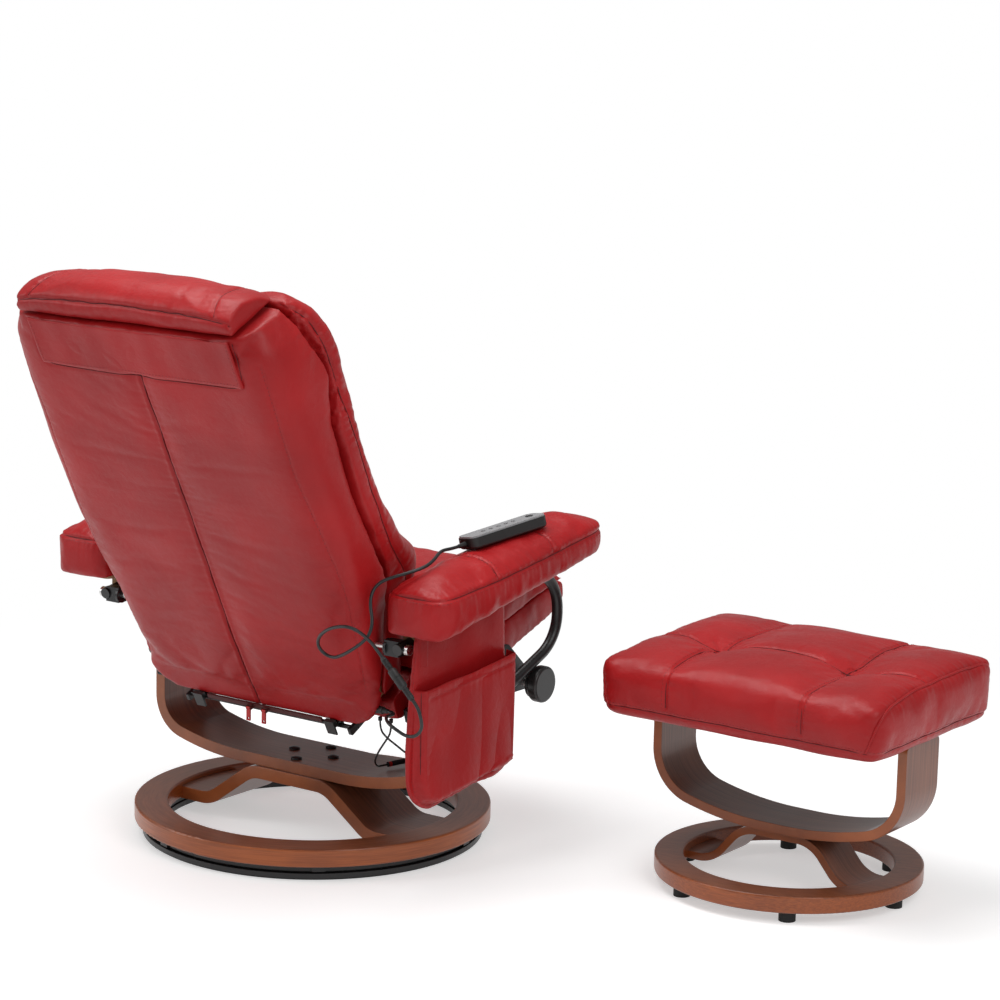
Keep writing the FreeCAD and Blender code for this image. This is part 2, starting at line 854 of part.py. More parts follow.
def arms():
    """Bent tubes, their end caps, the rear brackets with the reclining pivots, and the armrest boards."""
    points = arm_tube_points()
    wire = path_wire(points, (arm_tube_bend, arm_tube_bend, arm_tube_bend))
    along = points[1] - points[0]
    solid = tube_along(wire, points[0], along, arm_tube_radius)
    bore = tube_along(wire, points[0], along, arm_tube_radius - arm_tube_wall)
    print("arm tube", round(solid.Volume), round(math.pi * arm_tube_radius**2 * wire.Length))
    tube = solid.cut(bore)
    for y in leg_bolt_places:
        start = Vector(arm_tube_place - 2 * arm_tube_radius, y, arm_tube_low_height)
        end = Vector(arm_tube_place + 2 * arm_tube_radius, y, arm_tube_low_height)
        tube = tube.cut(rod(bolt_radius + bolt_play, start, end))
    outside = arm_tube_place + arm_tube_toe_in + arm_tube_radius
    hole_start = pivot_place(frame_inner_half - overrun)
    pivot_hole = rod(pivot_radius + pivot_play, hole_start, pivot_place(outside + overrun))
    tube = tube.cut(pivot_hole)
    save("arm_tube_left", tube)
    save("arm_tube_right", mirrored(tube))
    caps = []
    for end, before in ((points[0], points[1]), (points[-1], points[-2])):
        outward = (end - before).normalize()
        cap = rod(arm_tube_radius, end, end + outward * tube_cap_length)
        plug = rod(arm_tube_radius - arm_tube_wall, end - outward * tube_cap_length, end)
        caps.append(joined([cap, plug]))
    caps[0] = caps[0].cut(pivot_hole)
    save("arm_tube_caps", both_sides(Part.makeCompound(caps)))
    lobe_start = back_half_width + lobe_gap
    lobe = rod(lobe_radius, pivot_place(lobe_start), pivot_place(lobe_start + lobe_thickness))
    pivot = pivot_place(0)
    bar = block(
        lobe_start,
        arm_tube_place + arm_tube_toe_in,
        pivot.y - bracket_depth / 2,
        pivot.y + bracket_depth / 2,
        pivot.z - bracket_height / 2,
        pivot.z + bracket_height / 2,
    )
    bracket = joined([lobe, bar]).cut(solid).cut(caps[0]).cut(pivot_hole)
    bracket = max(bracket.Solids, key=lambda piece: piece.Volume)
    save("rear_brackets", both_sides(bracket))
    head_start = outside + pivot_head_gap
    shank = rod(pivot_radius, pivot_place(back_half_width - pivot_reach), pivot_place(head_start))
    head = rod(pivot_head_radius, pivot_place(head_start), pivot_place(head_start + pivot_head_height))
    save("pivot_bolts", both_sides(joined([shank, head])))
    boards = []
    board_base = arm_bottom(arm_tube_rear) - arm_board_thickness
    board_inner = armrest_inner + arm_board_inner_inset
    board_outer = armrest_inner + armrest_width - arm_board_outer_inset
    rear_height = arm_height(arm_board_rear, board_base)
    front_height = arm_height(-arm_board_front, board_base)
    board_outline = [
        Vector(board_inner, arm_board_rear, rear_height),
        Vector(board_inner, -arm_board_front, front_height),
        Vector(board_outer, -arm_board_front, front_height),
        Vector(board_outer, arm_board_rear, rear_height),
    ]
    corner = armrest_rear_corner - arm_board_inner_inset
    board = plate(board_outline, (corner, corner, corner, corner), Z_AXIS * arm_board_thickness)
    boards.append(board)
    board_outline[0].x = board_inner - arm_saddle_width
    board_outline[1].x = board_inner - arm_saddle_width
    rim = Part.makePolygon(board_outline + board_outline[:1])
    above_board = Part.Face(rim).extrude(Z_AXIS * armrest_width)
    for y in (arm_saddle_rear, -arm_saddle_front):
        top = arm_height(y, board_base)
        share = (arm_tube_rear - y) / (arm_tube_rear + arm_tube_front)
        x = arm_tube_place + arm_tube_toe_in + (arm_tube_splay - arm_tube_toe_in) * share
        half_width = arm_saddle_width / 2
        half_length = arm_saddle_length / 2
        low = arm_height(y, arm_tube_rear_height)
        high = top + arm_saddle_length
        saddle = block(x - half_width, x + half_width, y - half_length, y + half_length, low, high)
        saddle = saddle.cut(above_board).cut(solid)
        saddle = min(saddle.Solids, key=lambda piece: piece.CenterOfMass.z)
        boards.append(saddle)
    save("arm_boards", both_sides(Part.makeCompound(boards)))
    return boards


armrest_station_shares = (0.0, 0.12, 0.33, 0.6, 0.84, 0.94, 1.0)
armrest_side_shares = (1.0, 0.95, 0.85, 0.78, 0.82, 0.72, 0.5)
armrest_crown_shares = (0.25, 0.74, 0.79, 0.7, 0.58, 0.27, 0.06)


def arm_bottom(y):
    """Height of the armrest's straight underside, which follows the arm's slope."""
    return armrest_rear_height + (armrest_rear - y) * math.tan(math.radians(arm_slope))


def armrests(boards):
    """Pillow-topped armrests with rounded corners in plan, drawn down over their boards."""
    wires = []
    outer = armrest_inner + armrest_width
    stations = zip(armrest_station_shares, armrest_side_shares, armrest_crown_shares)
    for station, side_share, crown_share in stations:
        y = armrest_rear - armrest_length * station
        bottom = arm_bottom(y)
        top = bottom + armrest_side_height * side_share
        points = [
            Vector(armrest_inner, y, bottom),
            Vector(outer, y, bottom),
            Vector(outer, y, top),
            Vector(armrest_inner, y, top),
        ]
        wires.append(section(points, (0, 0, armrest_crown * crown_share, 0), -Y_AXIS))
    body = Part.makeLoft(wires, True, True)
    low = armrest_rear_height - overrun
    high = armrest_rear_height + armrest_length
    front = armrest_rear - armrest_length
    plan = [
        Vector(armrest_inner, armrest_rear, low),
        Vector(armrest_inner, front, low),
        Vector(outer, front, low),
        Vector(outer, armrest_rear, low),
    ]
    radii = (armrest_rear_corner, armrest_front_corner, armrest_front_corner, armrest_rear_corner)
    body = body.common(plate(plan, radii, Z_AXIS * (high - low)))
    for board in boards:
        body = body.cut(board)
    save("armrest_left", body)
    save("armrest_right", mirrored(body).cut(handset_case(handset_bed_gap)))


# Back


def lean_back(shape):
    """Turn a piece drawn upright, rear face on the plane y = 0, into the back's resting lean."""
    shape.rotate(ORIGIN, X_AXIS, -recline_lean)
    shape.translate(Vector(0, back_foot, back_level))
    return shape


back_height_shares = (0.0, 0.103, 0.221, 0.26, 0.329, 0.435, 0.544, 0.65, 0.75, 0.821, 0.878, 0.94, 1.0)
back_depth_shares = (0.476, 0.676, 0.976, 1.0, 0.871, 0.767, 0.771, 0.786, 0.824, 0.868, 0.872, 0.818, 0.69)
back_width_shares = (0.903, 0.91, 0.931, 0.952, 0.979, 1.0, 1.0, 0.993, 0.979, 0.967, 0.952, 0.928, 0.86)
shell_edge_height_shares = (0.0, 0.028, 0.267, 0.386, 0.54, 0.685, 0.824, 0.903, 1.0)
shell_edge_depth_shares = (0.14, 0.14, 0.505, 0.438, 0.41, 0.452, 0.624, 0.576, 0.5)


def back_section(height, half_width, depth):
    """Outline of the whole back at one height: rear panel, sides, two bolsters and the middle panel."""
    corner = back_rear_corner
    nose = back_front_corner
    points = [
        Vector(half_width - corner, 0, height),
        Vector(corner - half_width, 0, height),
        Vector(-half_width, -corner, height),
        Vector(-half_width, nose - depth, height),
        Vector(nose - half_width, -depth, height),
        Vector(-back_seam_half, back_seam_dip - depth, height),
        Vector(back_seam_half, back_seam_dip - depth, height),
        Vector(half_width - nose, -depth, height),
        Vector(half_width, nose - depth, height),
        Vector(half_width, -corner, height),
    ]
    rear_bulge = corner * quarter_sagitta_share
    nose_bulge = nose * quarter_sagitta_share
    panel = back_panel_crown
    side = back_rear_crown
    bulges = (side, rear_bulge, 0, nose_bulge, panel, panel, panel, nose_bulge, 0, rear_bulge)
    return section(points, bulges, Z_AXIS)


def back():
    """Shell, inner board and front cushion, cut from one envelope so that they fit each other."""
    wires = []
    stations = zip(back_height_shares, back_depth_shares, back_width_shares)
    for height_share, depth_share, width_share in stations:
        height = back_bottom + back_height * height_share
        wires.append(back_section(height, back_half_width * width_share, back_depth * depth_share))
    envelope = Part.makeLoft(wires, True, True)
    edge = []
    for height_share, depth_share in zip(shell_edge_height_shares, shell_edge_depth_shares):
        height = back_bottom + back_height * height_share
        edge.append(Vector(-back_half_width - overrun, -back_depth * depth_share, height))
    top = back_bottom + back_height + overrun
    edge[0] = edge[0] - Z_AXIS * overrun
    edge.append(Vector(-back_half_width - overrun, edge[-1].y, top))
    edge.append(Vector(-back_half_width - overrun, back_rear_crown + overrun, top))
    edge.append(Vector(-back_half_width - overrun, back_rear_crown + overrun, edge[0].z))
    rear_zone = plate(edge, [0] * len(edge), X_AXIS * (2 * (back_half_width + overrun)))
    tray_bottom = back_bottom - overrun
    tray = block(-shell_side_half, shell_side_half, -2 * back_depth, -shell_thickness, tray_bottom, shell_top)
    shell = envelope.common(rear_zone).cut(tray)
    lip_half = back_half_width * back_width_shares[0]
    lip_plan = [
        Vector(-lip_half, -shell_thickness, lip_bottom),
        Vector(lip_half, -shell_thickness, lip_bottom),
        Vector(lip_half, 0, lip_bottom),
        Vector(-lip_half, 0, lip_bottom),
    ]
    lip = plate(lip_plan, (0, 0, lip_rounding, lip_rounding), Z_AXIS * (back_bottom - lip_bottom))
    shell = joined([shell, lip])
    reach = back_half_width + overrun
    mask_outline = [
        Vector(-lip_half, -2 * back_depth, back_bottom + lip_corner),
        Vector(-lip_half, -2 * back_depth, lip_bottom),
        Vector(lip_half, -2 * back_depth, lip_bottom),
        Vector(lip_half, -2 * back_depth, back_bottom + lip_corner),
    ]
    mask = plate(mask_outline, (0, lip_corner, lip_corner, 0), Y_AXIS * (3 * back_depth))
    upper = block(-reach, reach, -2 * back_depth, back_depth, lip_bottom + lip_corner, top)
    mask = mask.fuse(upper)
    shell = shell.common(mask)
    board_front = -shell_thickness - board_thickness
    board = block(-shell_side_half, shell_side_half, board_front, -shell_thickness, back_bottom, shell_top)
    cushion = envelope.common(mask).cut(shell).cut(board)
    pin_start = Vector(back_half_width - pivot_reach - pivot_play, -pivot_depth, pivot_height)
    pin = rod(pivot_radius + pivot_play, pin_start, pin_start + X_AXIS * (2 * pivot_reach))
    pins = both_sides(pin)
    save("back_shell", lean_back(shell.cut(pins)))
    save("back_frame", lean_back(board.cut(pins)))
    cushion = cushion.cut(pins)
    save("back_cushion", lean_back(cushion))
    flap = block(-flap_half_width, flap_half_width, 0, flap_thickness, flap_bottom, flap_top).cut(envelope)
    save("back_flap", lean_back(flap))
    return shell


head_station_shares = (-1.0, -0.94, -0.8, -0.45, 0.0, 0.45, 0.8, 0.94, 1.0)
head_rise_shares = (0.7, 0.79, 0.89, 0.98, 1.0, 0.98, 0.89, 0.79, 0.7)
head_depth_shares = (0.8, 0.88, 0.95, 1.0, 1.0, 1.0, 0.95, 0.88, 0.8)
head_band_share = 0.76
head_front_share = 0.12
head_crest_share = 0.47


def head_cushion():
    """Rolled pillow along the back's top edge."""
    wires = []
    bottom = back_bottom + back_height
    rear = -head_rear_gap
    for station, rise, depth_share in zip(head_station_shares, head_rise_shares, head_depth_shares):
        x = head_half_width * station
        half = head_depth * depth_share / 2
        height = head_height * rise
        front = rear - 2 * half
        band = bottom + height * head_band_share
        crest = Vector(x, rear - half * (1 + head_crest_share) / 2, bottom + height)
        points = [
            Vector(x, front, bottom),
            Vector(x, rear, bottom),
            Vector(x, rear, band),
            crest,
            Vector(x, front, bottom + height * head_front_share),
        ]
        bulge = height * quarter_sagitta_share / 2
        wires.append(section(points, (0, bulge / 2, bulge / 2, bulge, 0), X_AXIS))
    save("head_cushion", lean_back(Part.makeLoft(wires, True, True)))


def zip_and_clips(shell):
    """Zip along the lower edge with two hanging pulls, and the slotted clips that hold the seat's rod."""
    top = lip_bottom + zip_width
    track = [block(-zip_half_length, zip_half_length, 0, zip_thickness, lip_bottom, top)]
    for number, x in enumerate((zip_pull_left_place, zip_pull_right_place)):
        low = x - zip_slider_width / 2
        high = x + zip_slider_width / 2
        slider_face = zip_thickness + zip_slider_thickness
        middle = lip_bottom + zip_width / 2
        slider = block(low, high, zip_thickness, slider_face, lip_bottom, top)
        pin_depth = slider_face + zip_pull_head + zip_pull_play
        for side in (-1, 1):
            inner = x + side * (zip_pull_width / 2 + zip_pull_play)
            outer = x + side * zip_pin_length / 2
            ear_reach = pin_depth + zip_pin_radius
            reach = 2 * zip_pin_radius
            near = min(inner, outer)
            far = max(inner, outer)
            ear = block(near, far, zip_thickness, ear_reach, middle - reach, middle + reach)
            slider = slider.fuse(ear)
        start = Vector(x - zip_pin_length / 2, pin_depth, middle)
        slider = slider.fuse(rod(zip_pin_radius, start, start + X_AXIS * zip_pin_length))
        track.append(slider.removeSplitter())
        half = zip_pull_width / 2
        place = back_place(x, pin_depth, middle)
        y = place.y
        z = place.z
        eye = rod(zip_pull_head, Vector(x - half, y, z), Vector(x + half, y, z))
        thin = zip_pull_thickness / 2
        tab = block(x - half, x + half, y - thin, y + thin, z - zip_pull_length, z)
        hole_height = z - zip_pull_length + 2 * zip_pull_hole
        hole_start = Vector(x, y - zip_pull_width, hole_height)
        hole = rod(zip_pull_hole, hole_start, hole_start + Y_AXIS * (2 * zip_pull_width))
        pull = joined([eye, tab]).cut(hole)
        pull = pull.cut(rod(zip_pin_radius + zip_pull_play, Vector(x - half, y, z), Vector(x + half, y, z)))
        save(("zip_pull_left", "zip_pull_right")[number], pull)
    save("zip_track", lean_back(joined(track)))
    slot_rear = rod_radius + hinge_slot_play + hinge_slot_sway - rod_depth
    slot_front = -rod_depth - rod_radius - hinge_slot_play
    slot_top = rod_height + rod_radius + hinge_slot_play
    clips = []
    for x in (hinge_clip_place, -hinge_clip_place):
        low = x - hinge_clip_width / 2
        high = x + hinge_clip_width / 2
        bottom = slot_top - hinge_slot_depth
        front = slot_front - hinge_clip_wall
        rear = slot_rear + hinge_clip_wall
        fork = block(low, high, front, rear, bottom, lip_bottom)
        slot = block(low, high, slot_front, slot_rear, bottom, slot_top)
        strap = block(low, high, 0, rear, lip_bottom, lip_bottom + hinge_clip_rise)
        clips.append(joined([fork.cut(slot), strap.cut(shell)]))
    save("hinge_clips", lean_back(Part.makeCompound(clips)))


def gland_tip():
    """Outer end of the tail's gland, on the lower right corner of the shell's edge."""
    from_centre = lip_bottom + lip_corner - gland_height
    edge = back_half_width * back_width_shares[0] - lip_corner + math.sqrt(lip_corner**2 - from_centre**2)
    return back_place(-edge - gland_reach, -gland_depth, gland_height)


def rod_place(x):
    """Where the seat's rear rod lies, behind the seat box and just below the back's lower edge."""
    return back_place(x, -rod_depth, rod_height)


# Seat


seat_upper_shares = (
    (0.112, 0.405),
    (0.112, 0.84),
    (0.894, 0.985),
    (0.984, 0.87),
    (0.824, 0.77),
    (0.636, 0.63),
)
seat_box_shares = (
    (0.032, 0.02),
    (0.0, 0.23),
    (0.112, 0.405),
    (0.636, 0.63),
    (0.824, 0.77),
    (0.984, 0.87),
    (1.0, 0.72),
    (0.952, 0.58),
    (0.624, 0.29),
)


def seat_box_bottom(y):
    """Height of the seat box's underside at one place along the chair."""
    low = seat_outline("box")[0]
    high = seat_outline("box")[-1]
    return low.z + (high.z - low.z) * (low.y - y) / (low.y - high.y)


def seat_outline(part, x=0.0, draw_in=0.0):
    """Side outline of the seat's upper layer or of its box."""
    shares = seat_upper_shares if part == "upper" else seat_box_shares
    points = []
    for number, (length_share, height_share) in enumerate(shares):
        y = seat_rear - seat_length * length_share
        z = seat_bottom + seat_height * height_share
        if part == "upper" and number in (1, 2):
            z = z - draw_in
        points.append(Vector(x, y, z))
    return points


def seat_box():
    """Upholstered box under the seat's upper layer."""
    nose = seat_draw_in * quarter_sagitta_share
    bulges = (0, 0, 0, 0, 0, nose, nose, 0, 0)
    face = Part.Face(section(seat_outline("box", -seat_box_half_width), bulges, X_AXIS))
    return face.extrude(X_AXIS * (2 * seat_box_half_width))


def seat():
    """Upper layer with its crown and two seams, the box below it, and the runners with the rear rod."""
    wires = []
    stations = (
        (-seat_half_width, seat_draw_in, 0.2),
        (-seat_half_width + seat_draw_in, 0.0, 0.35),
        (-seat_seam_half, seat_seam_dip, 0.7),
        (0.0, 0.0, 1.0),
        (seat_seam_half, seat_seam_dip, 0.7),
        (seat_half_width - seat_draw_in, 0.0, 0.35),
        (seat_half_width, seat_draw_in, 0.2),
    )
    for x, draw_in, crown_share in stations:
        bulges = (0, seat_crown * crown_share, seat_draw_in * quarter_sagitta_share, 0, 0, 0)
        wires.append(section(seat_outline("upper", x, draw_in), bulges, X_AXIS))
    save("seat_cushion", Part.makeLoft(wires, True, True))
    save("seat_base", seat_box())
    half = rail_outer_height / 2 - rail_sheet - runner_play
    outer = frame_inner_half - rail_sheet - runner_play
    runner = on_slide(block(seat_box_half_width, outer, -runner_front, runner_rear, -half, half))
    save("seat_runners", both_sides(runner))
    lean = math.radians(recline_lean)
    back_dir = Vector(0, math.cos(lean), -math.sin(lean))
    up_dir = Vector(0, math.sin(lean), math.cos(lean))
    ear_side = rod_half_length - rod_ear_thickness
    place = rod_place(ear_side)
    corner = seat_outline("box", ear_side)[0]
    front = Vector(ear_side, corner.y - rod_ear_length, seat_box_bottom(corner.y - rod_ear_length))
    top = place + back_dir * rod_ear_reach + up_dir * (lip_bottom - rod_height - rod_ear_clearance)
    rear = place + (back_dir - up_dir) * rod_ear_reach
    low = place - (back_dir + up_dir) * rod_ear_reach
    rounding = (0, 0, 0, rod_radius, rod_radius)
    ear = plate([front, corner, top, rear, low], rounding, X_AXIS * rod_ear_thickness)
    bar = rod(rod_radius, rod_place(-rod_half_length), rod_place(rod_half_length))
    save("seat_hinge_rod", joined([bar, ear, mirrored(ear)]))


# Side pocket


def pocket():
    """Cloth pocket under the right armrest: a tall panel, a bag on it and a strip at its upper corner."""
    outer = pocket_inner + pocket_thickness
    front = pocket_rear - pocket_length
    board_base = arm_bottom(arm_tube_rear) - arm_board_thickness - pocket_gap
    rear_top = pocket_rear - pocket_top_inset
    front_top = front + pocket_front_inset
    corners = [
        Vector(-outer, rear_top, arm_height(rear_top, board_base)),
        Vector(-outer, pocket_rear, (pocket_opening_height + pocket_bottom) / 2),
        Vector(-outer, pocket_rear - pocket_cloth, pocket_bottom),
        Vector(-outer, front, pocket_bottom + pocket_front_lift),
        Vector(-outer, front, (pocket_opening_height + pocket_bottom) / 2),
        Vector(-outer, front_top, arm_height(front_top, board_base)),
    ]
    radii = (0, pocket_rear_corner, pocket_rear_corner, pocket_front_corner, pocket_front_corner, 0)
    wire = outline(corners, radii)
    bag = Part.Face(wire).extrude(X_AXIS * pocket_thickness)
    inside = Part.Face(wire.makeOffset2D(-pocket_cloth))
    inside.translate(X_AXIS * pocket_cloth)
    bag = bag.cut(inside.extrude(X_AXIS * (pocket_thickness - 2 * pocket_cloth)))
    above = armrest_rear_height + armrest_rise
    inner_face = -pocket_inner - pocket_cloth
    bag = bag.cut(block(-outer, inner_face, front, pocket_rear, pocket_opening_height, above))
    save("side_pocket", bag)
    strap_rear = rear_top - pocket_cloth
    strap_top = arm_height(strap_rear, board_base) - pocket_cloth
    strap_face = pocket_inner + pocket_cloth
    strap_front = strap_rear - strap_width
    strap_low = strap_top - strap_length
    strap = block(-strap_face - strap_thickness, -strap_face, strap_front, strap_rear, strap_low, strap_top)
    save("pocket_strap", strap)


# Handset and cords


def on_armrest(shape):
    """Turn a piece drawn on the handset's level top face into its place on the armrest."""
    shape.rotate(ORIGIN, Y_AXIS, handset_roll)
    shape.rotate(ORIGIN, X_AXIS, handset_pitch)
    shape.rotate(ORIGIN, Z_AXIS, handset_heading)
    shape.translate(Vector(-handset_from_middle, -handset_forward, handset_top_height))
    return shape


def handset_case(margin):
    """The handset's rounded case in its place, grown by a margin for the dent that it presses in the pad."""
    half_width = handset_width / 2 + margin
    half_length = handset_length / 2 + margin
    bottom = -handset_height - margin
    plan = []
    for x, y in ((-1, -1), (1, -1), (1, 1), (-1, 1)):
        plan.append(Vector(x * half_width, y * half_length, bottom))
    corner = handset_corner
    case = plate(plan, (corner, corner, corner, corner), Z_AXIS * (-handset_face_thickness - bottom))
    lower_edges = [edge for edge in case.Edges if edge.BoundBox.ZMax < bottom + handset_rounding]
    return on_armrest(case.makeFillet(handset_rounding, lower_edges))


def handset():
    """Case, face plate, keys that press in, and the cord's relief. Returns the relief's line."""
    half_width = handset_width / 2
    half_length = handset_length / 2
    save("handset_case", handset_case(0))
    corners = []
    for x, y in ((-1, -1), (1, -1), (1, 1), (-1, 1)):
        x_place = x * (half_width - handset_face_inset)
        y_place = y * (half_length - handset_face_inset)
        corners.append(Vector(x_place, y_place, -handset_face_thickness))
    rounding = handset_corner - handset_face_inset
    face = plate(corners, (rounding, rounding, rounding, rounding), Z_AXIS * handset_face_thickness)
    bottom = key_travel + key_play - handset_face_thickness
    keys = []
    for number in range(key_count):
        keys.append((key_first - key_spacing * number, key_radius))
    keys.append((-power_key_place, power_key_radius))
    for number, (y, radius) in enumerate(keys):
        hole_start = Vector(0, y, -2 * handset_face_thickness)
        face = face.cut(rod(radius + key_play, hole_start, Vector(0, y, handset_face_thickness)))
        key = Part.makeCylinder(radius, key_height, Vector(0, y, bottom))
        name = "handset_key_" + str(number + 1) if number < key_count else "handset_power_key"
        save(name, on_armrest(key))
    save("handset_face", on_armrest(face))
    start = Vector(0, half_length, -relief_drop)
    relief = Part.makeCone(relief_radius, cord_radius + cord_radius / 4, relief_length, start, Y_AXIS)
    save("handset_relief", on_armrest(relief))
    line = on_armrest(Part.makeLine(start, start + Y_AXIS * (2 * relief_length)))
    end = line.valueAt(line.FirstParameter + (line.LastParameter - line.FirstParameter) / 2)
    return end, line.Vertexes[1].Point


def cord(points, radius):
    """Round cord through the points, each corner as round as its two runs allow."""
    radii = []
    for before, point, after in zip(points, points[1:], points[2:]):
        half_turn = (math.pi - (before - point).getAngle(after - point)) / 2
        shorter = min((before - point).Length, (after - point).Length)
        radii.append(cord_run_share * shorter / math.tan(half_turn))
    wire = path_wire(points, radii)
    shape = tube_along(wire, points[0], points[1] - points[0], radius)
    expected = math.pi * radius**2 * wire.Length
    print("cord length", round(wire.Length), "volume", round(shape.Volume), "of", round(expected))
    print("radii in diameters", [round(value / (2 * radius), 1) for value in radii])
    return shape


def cords(relief_end, relief_beyond, shell):
    """Handset cord to its connector, the tail to the gland on the back, and the loose loop under the seat."""
    foot = Z_AXIS * arm_tube_low_height
    connector_start = Vector(-connector_start_side, connector_start_depth, connector_start_rise) + foot
    connector_end = Vector(-connector_end_side, connector_end_depth, connector_end_rise) + foot
    route = [Vector(*place) + foot for place in handset_cord_route]
    along = (connector_end - connector_start).normalize()
    neck_start = connector_start - along * connector_neck_length
    neck_end = connector_end + along * connector_neck_length
    last_turn = neck_start - along * cord_end_run
    save("handset_cord", cord([relief_end, relief_beyond] + route + [last_turn, neck_start], cord_radius))
    body = rod(connector_radius, connector_start, connector_end)
    neck = connector_neck_length
    tip_radius = cord_radius + cord_radius / 4
    for start, outward in ((connector_start, along * -1), (connector_end, along)):
        body = body.fuse(Part.makeCone(connector_neck_radius, tip_radius, neck, start, outward))
    save("cord_connector", body.removeSplitter())
    route = [Vector(*place) + foot for place in tail_route]
    tip = gland_tip()
    route = [neck_end + along * cord_end_run] + route + [tip - X_AXIS * cord_end_run]
    save("connector_tail", cord([neck_end] + route + [tip], cord_radius))
    gland = rod(gland_radius, tip, tip + X_AXIS * gland_length)
    save("cable_gland", gland.cut(lean_back(shell.copy())))
    glands = []
    ends = []
    reach = seat_box_bottom(cable_gland_place) - cable_gland_length
    for x in (-cable_gland_outer, -cable_gland_inner):
        end = Vector(x, cable_gland_place, reach)
        gland = Part.makeCylinder(cable_gland_radius, 2 * cable_gland_length, end)
        glands.append(gland.cut(seat_box()))
        ends.append(end)
    drop = Z_AXIS * cable_end_run
    joint_start = Vector(-cable_joint_start_side, cable_joint_start_depth, belly_top + cable_joint_start_lift)
    joint_end = Vector(-cable_joint_end_side, -cable_joint_end_depth, belly_top + cable_joint_end_lift)
    along = (joint_end - joint_start).normalize() * cable_end_run
    room = seat_bottom - belly_top
    down_route = [Vector(x, y, belly_top + room * share) for x, y, share in cable_route_down]
    up_route = [Vector(x, y, belly_top + room * share) for x, y, share in cable_route_up]
    down = [ends[0], ends[0] - drop] + down_route
    down = down + [joint_start - along, joint_start]
    up = [joint_end, joint_end + along] + up_route + [ends[1] - drop, ends[1]]
    save("cable_loop", Part.makeCompound([cord(down, cable_radius), cord(up, cable_radius)]))
    glands.append(rod(cable_joint_radius, joint_start, joint_end))
    save("cable_fittings", Part.makeCompound(glands))


# Footstool


stool_station_shares = (-1.0, -0.975, -0.925, -0.74, -0.47, -0.24, 0.0, 0.24, 0.47, 0.74, 0.925, 0.975, 1.0)
stool_middle_shares = (0.0, 0.3, 0.388, 0.72, 0.4, 0.9, 1.0, 0.9, 0.4, 0.72, 0.388, 0.3, 0.0)
stool_lift_shares = (1.0, 0.45, 0.0, 0.0, 0.0, 0.0, 0.0, 0.0, 0.0, 0.0, 0.0, 0.45, 1.0)
stool_panel_shares = (0.1, 0.3, 0.321, 0.4, 0.25, 0.35, 0.35, 0.35, 0.25, 0.4, 0.321, 0.3, 0.1)


def to_stool(shape):
    """Carry a piece drawn about the swivel axis over to the footstool's middle."""
    shape.translate(Vector(-stool_side_place, -stool_front_place, 0))
    return shape


def footstool():
    """Ring on feet, bridge, U-frame, board and a cushion with one long seam and two cross seams."""
    inner = stool_ring_radius - stool_ring_width
    body = ring(inner, stool_ring_radius, stool_ring_bottom, stool_ring_height)
    body = body.makeFillet(base_ring_rounding, body.Edges)
    foot_circle = stool_ring_radius - stool_ring_width / 2
    foot = Part.makeCylinder(stool_foot_radius, stool_ring_bottom, Vector(foot_circle, 0, 0))
    save("stool_feet", to_stool(around(foot, stool_foot_count, 0)))
    foot_middle = stool_ring_bottom + stool_bridge_foot_lift + stool_bridge_thickness / 2
    let_in = inner + bridge_let_in
    arch = bridge(
        stool_bridge_flat_half,
        stool_bridge_foot_half,
        let_in,
        stool_bridge_top,
        foot_middle,
        stool_bridge_thickness,
        stool_bridge_bend,
        stool_bridge_width,
    )
    arch = arch.common(Part.makeCylinder(let_in, stool_bridge_top))
    save("stool_ring", to_stool(body.cut(arch)))
    frame_top_height = stool_cushion_bottom - stool_board_thickness
    frame = u_frame(
        stool_frame_half_width,
        stool_bridge_top,
        frame_top_height,
        stool_frame_thickness,
        stool_frame_flat_half,
        stool_frame_corner_radius,
        stool_frame_depth,
    )
    save("stool_bridge", to_stool(arch))
    save("stool_u_frame", to_stool(frame))
    half_x = stool_cushion_half_length - stool_board_end_inset
    half_y = stool_cushion_half_width - stool_board_side_inset
    board = block(-half_x, half_x, -half_y, half_y, frame_top_height, stool_cushion_bottom)
    save("stool_board", to_stool(board))
    wires = []
    middle_edge = (stool_cushion_front_edge + stool_cushion_rear_edge) / 2
    under = stool_cushion_under
    stations = zip(stool_station_shares, stool_middle_shares, stool_panel_shares, stool_lift_shares)
    for station, middle_share, panel_share, lift_share in stations:
        x = stool_cushion_half_length * station
        rise = middle_edge + stool_cushion_crown * middle_share
        low = frame_top_height + stool_cushion_end_lift * lift_share
        points = [
            Vector(x, under - stool_cushion_half_width, low),
            Vector(x, stool_cushion_half_width - under, low),
            Vector(x, stool_cushion_half_width, low + under),
            Vector(x, stool_cushion_half_width, stool_cushion_bottom + stool_cushion_rear_edge),
            Vector(x, stool_tuft_place, stool_cushion_bottom + rise),
            Vector(x, -stool_cushion_half_width, stool_cushion_bottom + stool_cushion_front_edge),
            Vector(x, -stool_cushion_half_width, low + under),
        ]
        panel = stool_cushion_crown * panel_share
        roll = under * quarter_sagitta_share
        wires.append(section(points, (0, roll, 0, panel, panel, 0, roll), X_AXIS))
    cushion = Part.makeLoft(wires, True, True)
    plan = []
    for x, y in ((-1, -1), (1, -1), (1, 1), (-1, 1)):
        plan.append(Vector(x * stool_cushion_half_length, y * stool_cushion_half_width, frame_top_height))
    corner = stool_cushion_corner
    high = Z_AXIS * (stool_board_thickness + stool_cushion_front_edge + 2 * stool_cushion_crown)
    cushion = to_stool(cushion.common(plate(plan, (corner, corner, corner, corner), high)))
    save("stool_cushion", cushion.cut(board))


turntable()
wooden_base()
slide_rails()
knobs()
armrests(arms())
shell = back()
head_cushion()
zip_and_clips(shell)
seat()
pocket()
cord_start, cord_next = handset()
cords(cord_start, cord_next, shell)
footstool()
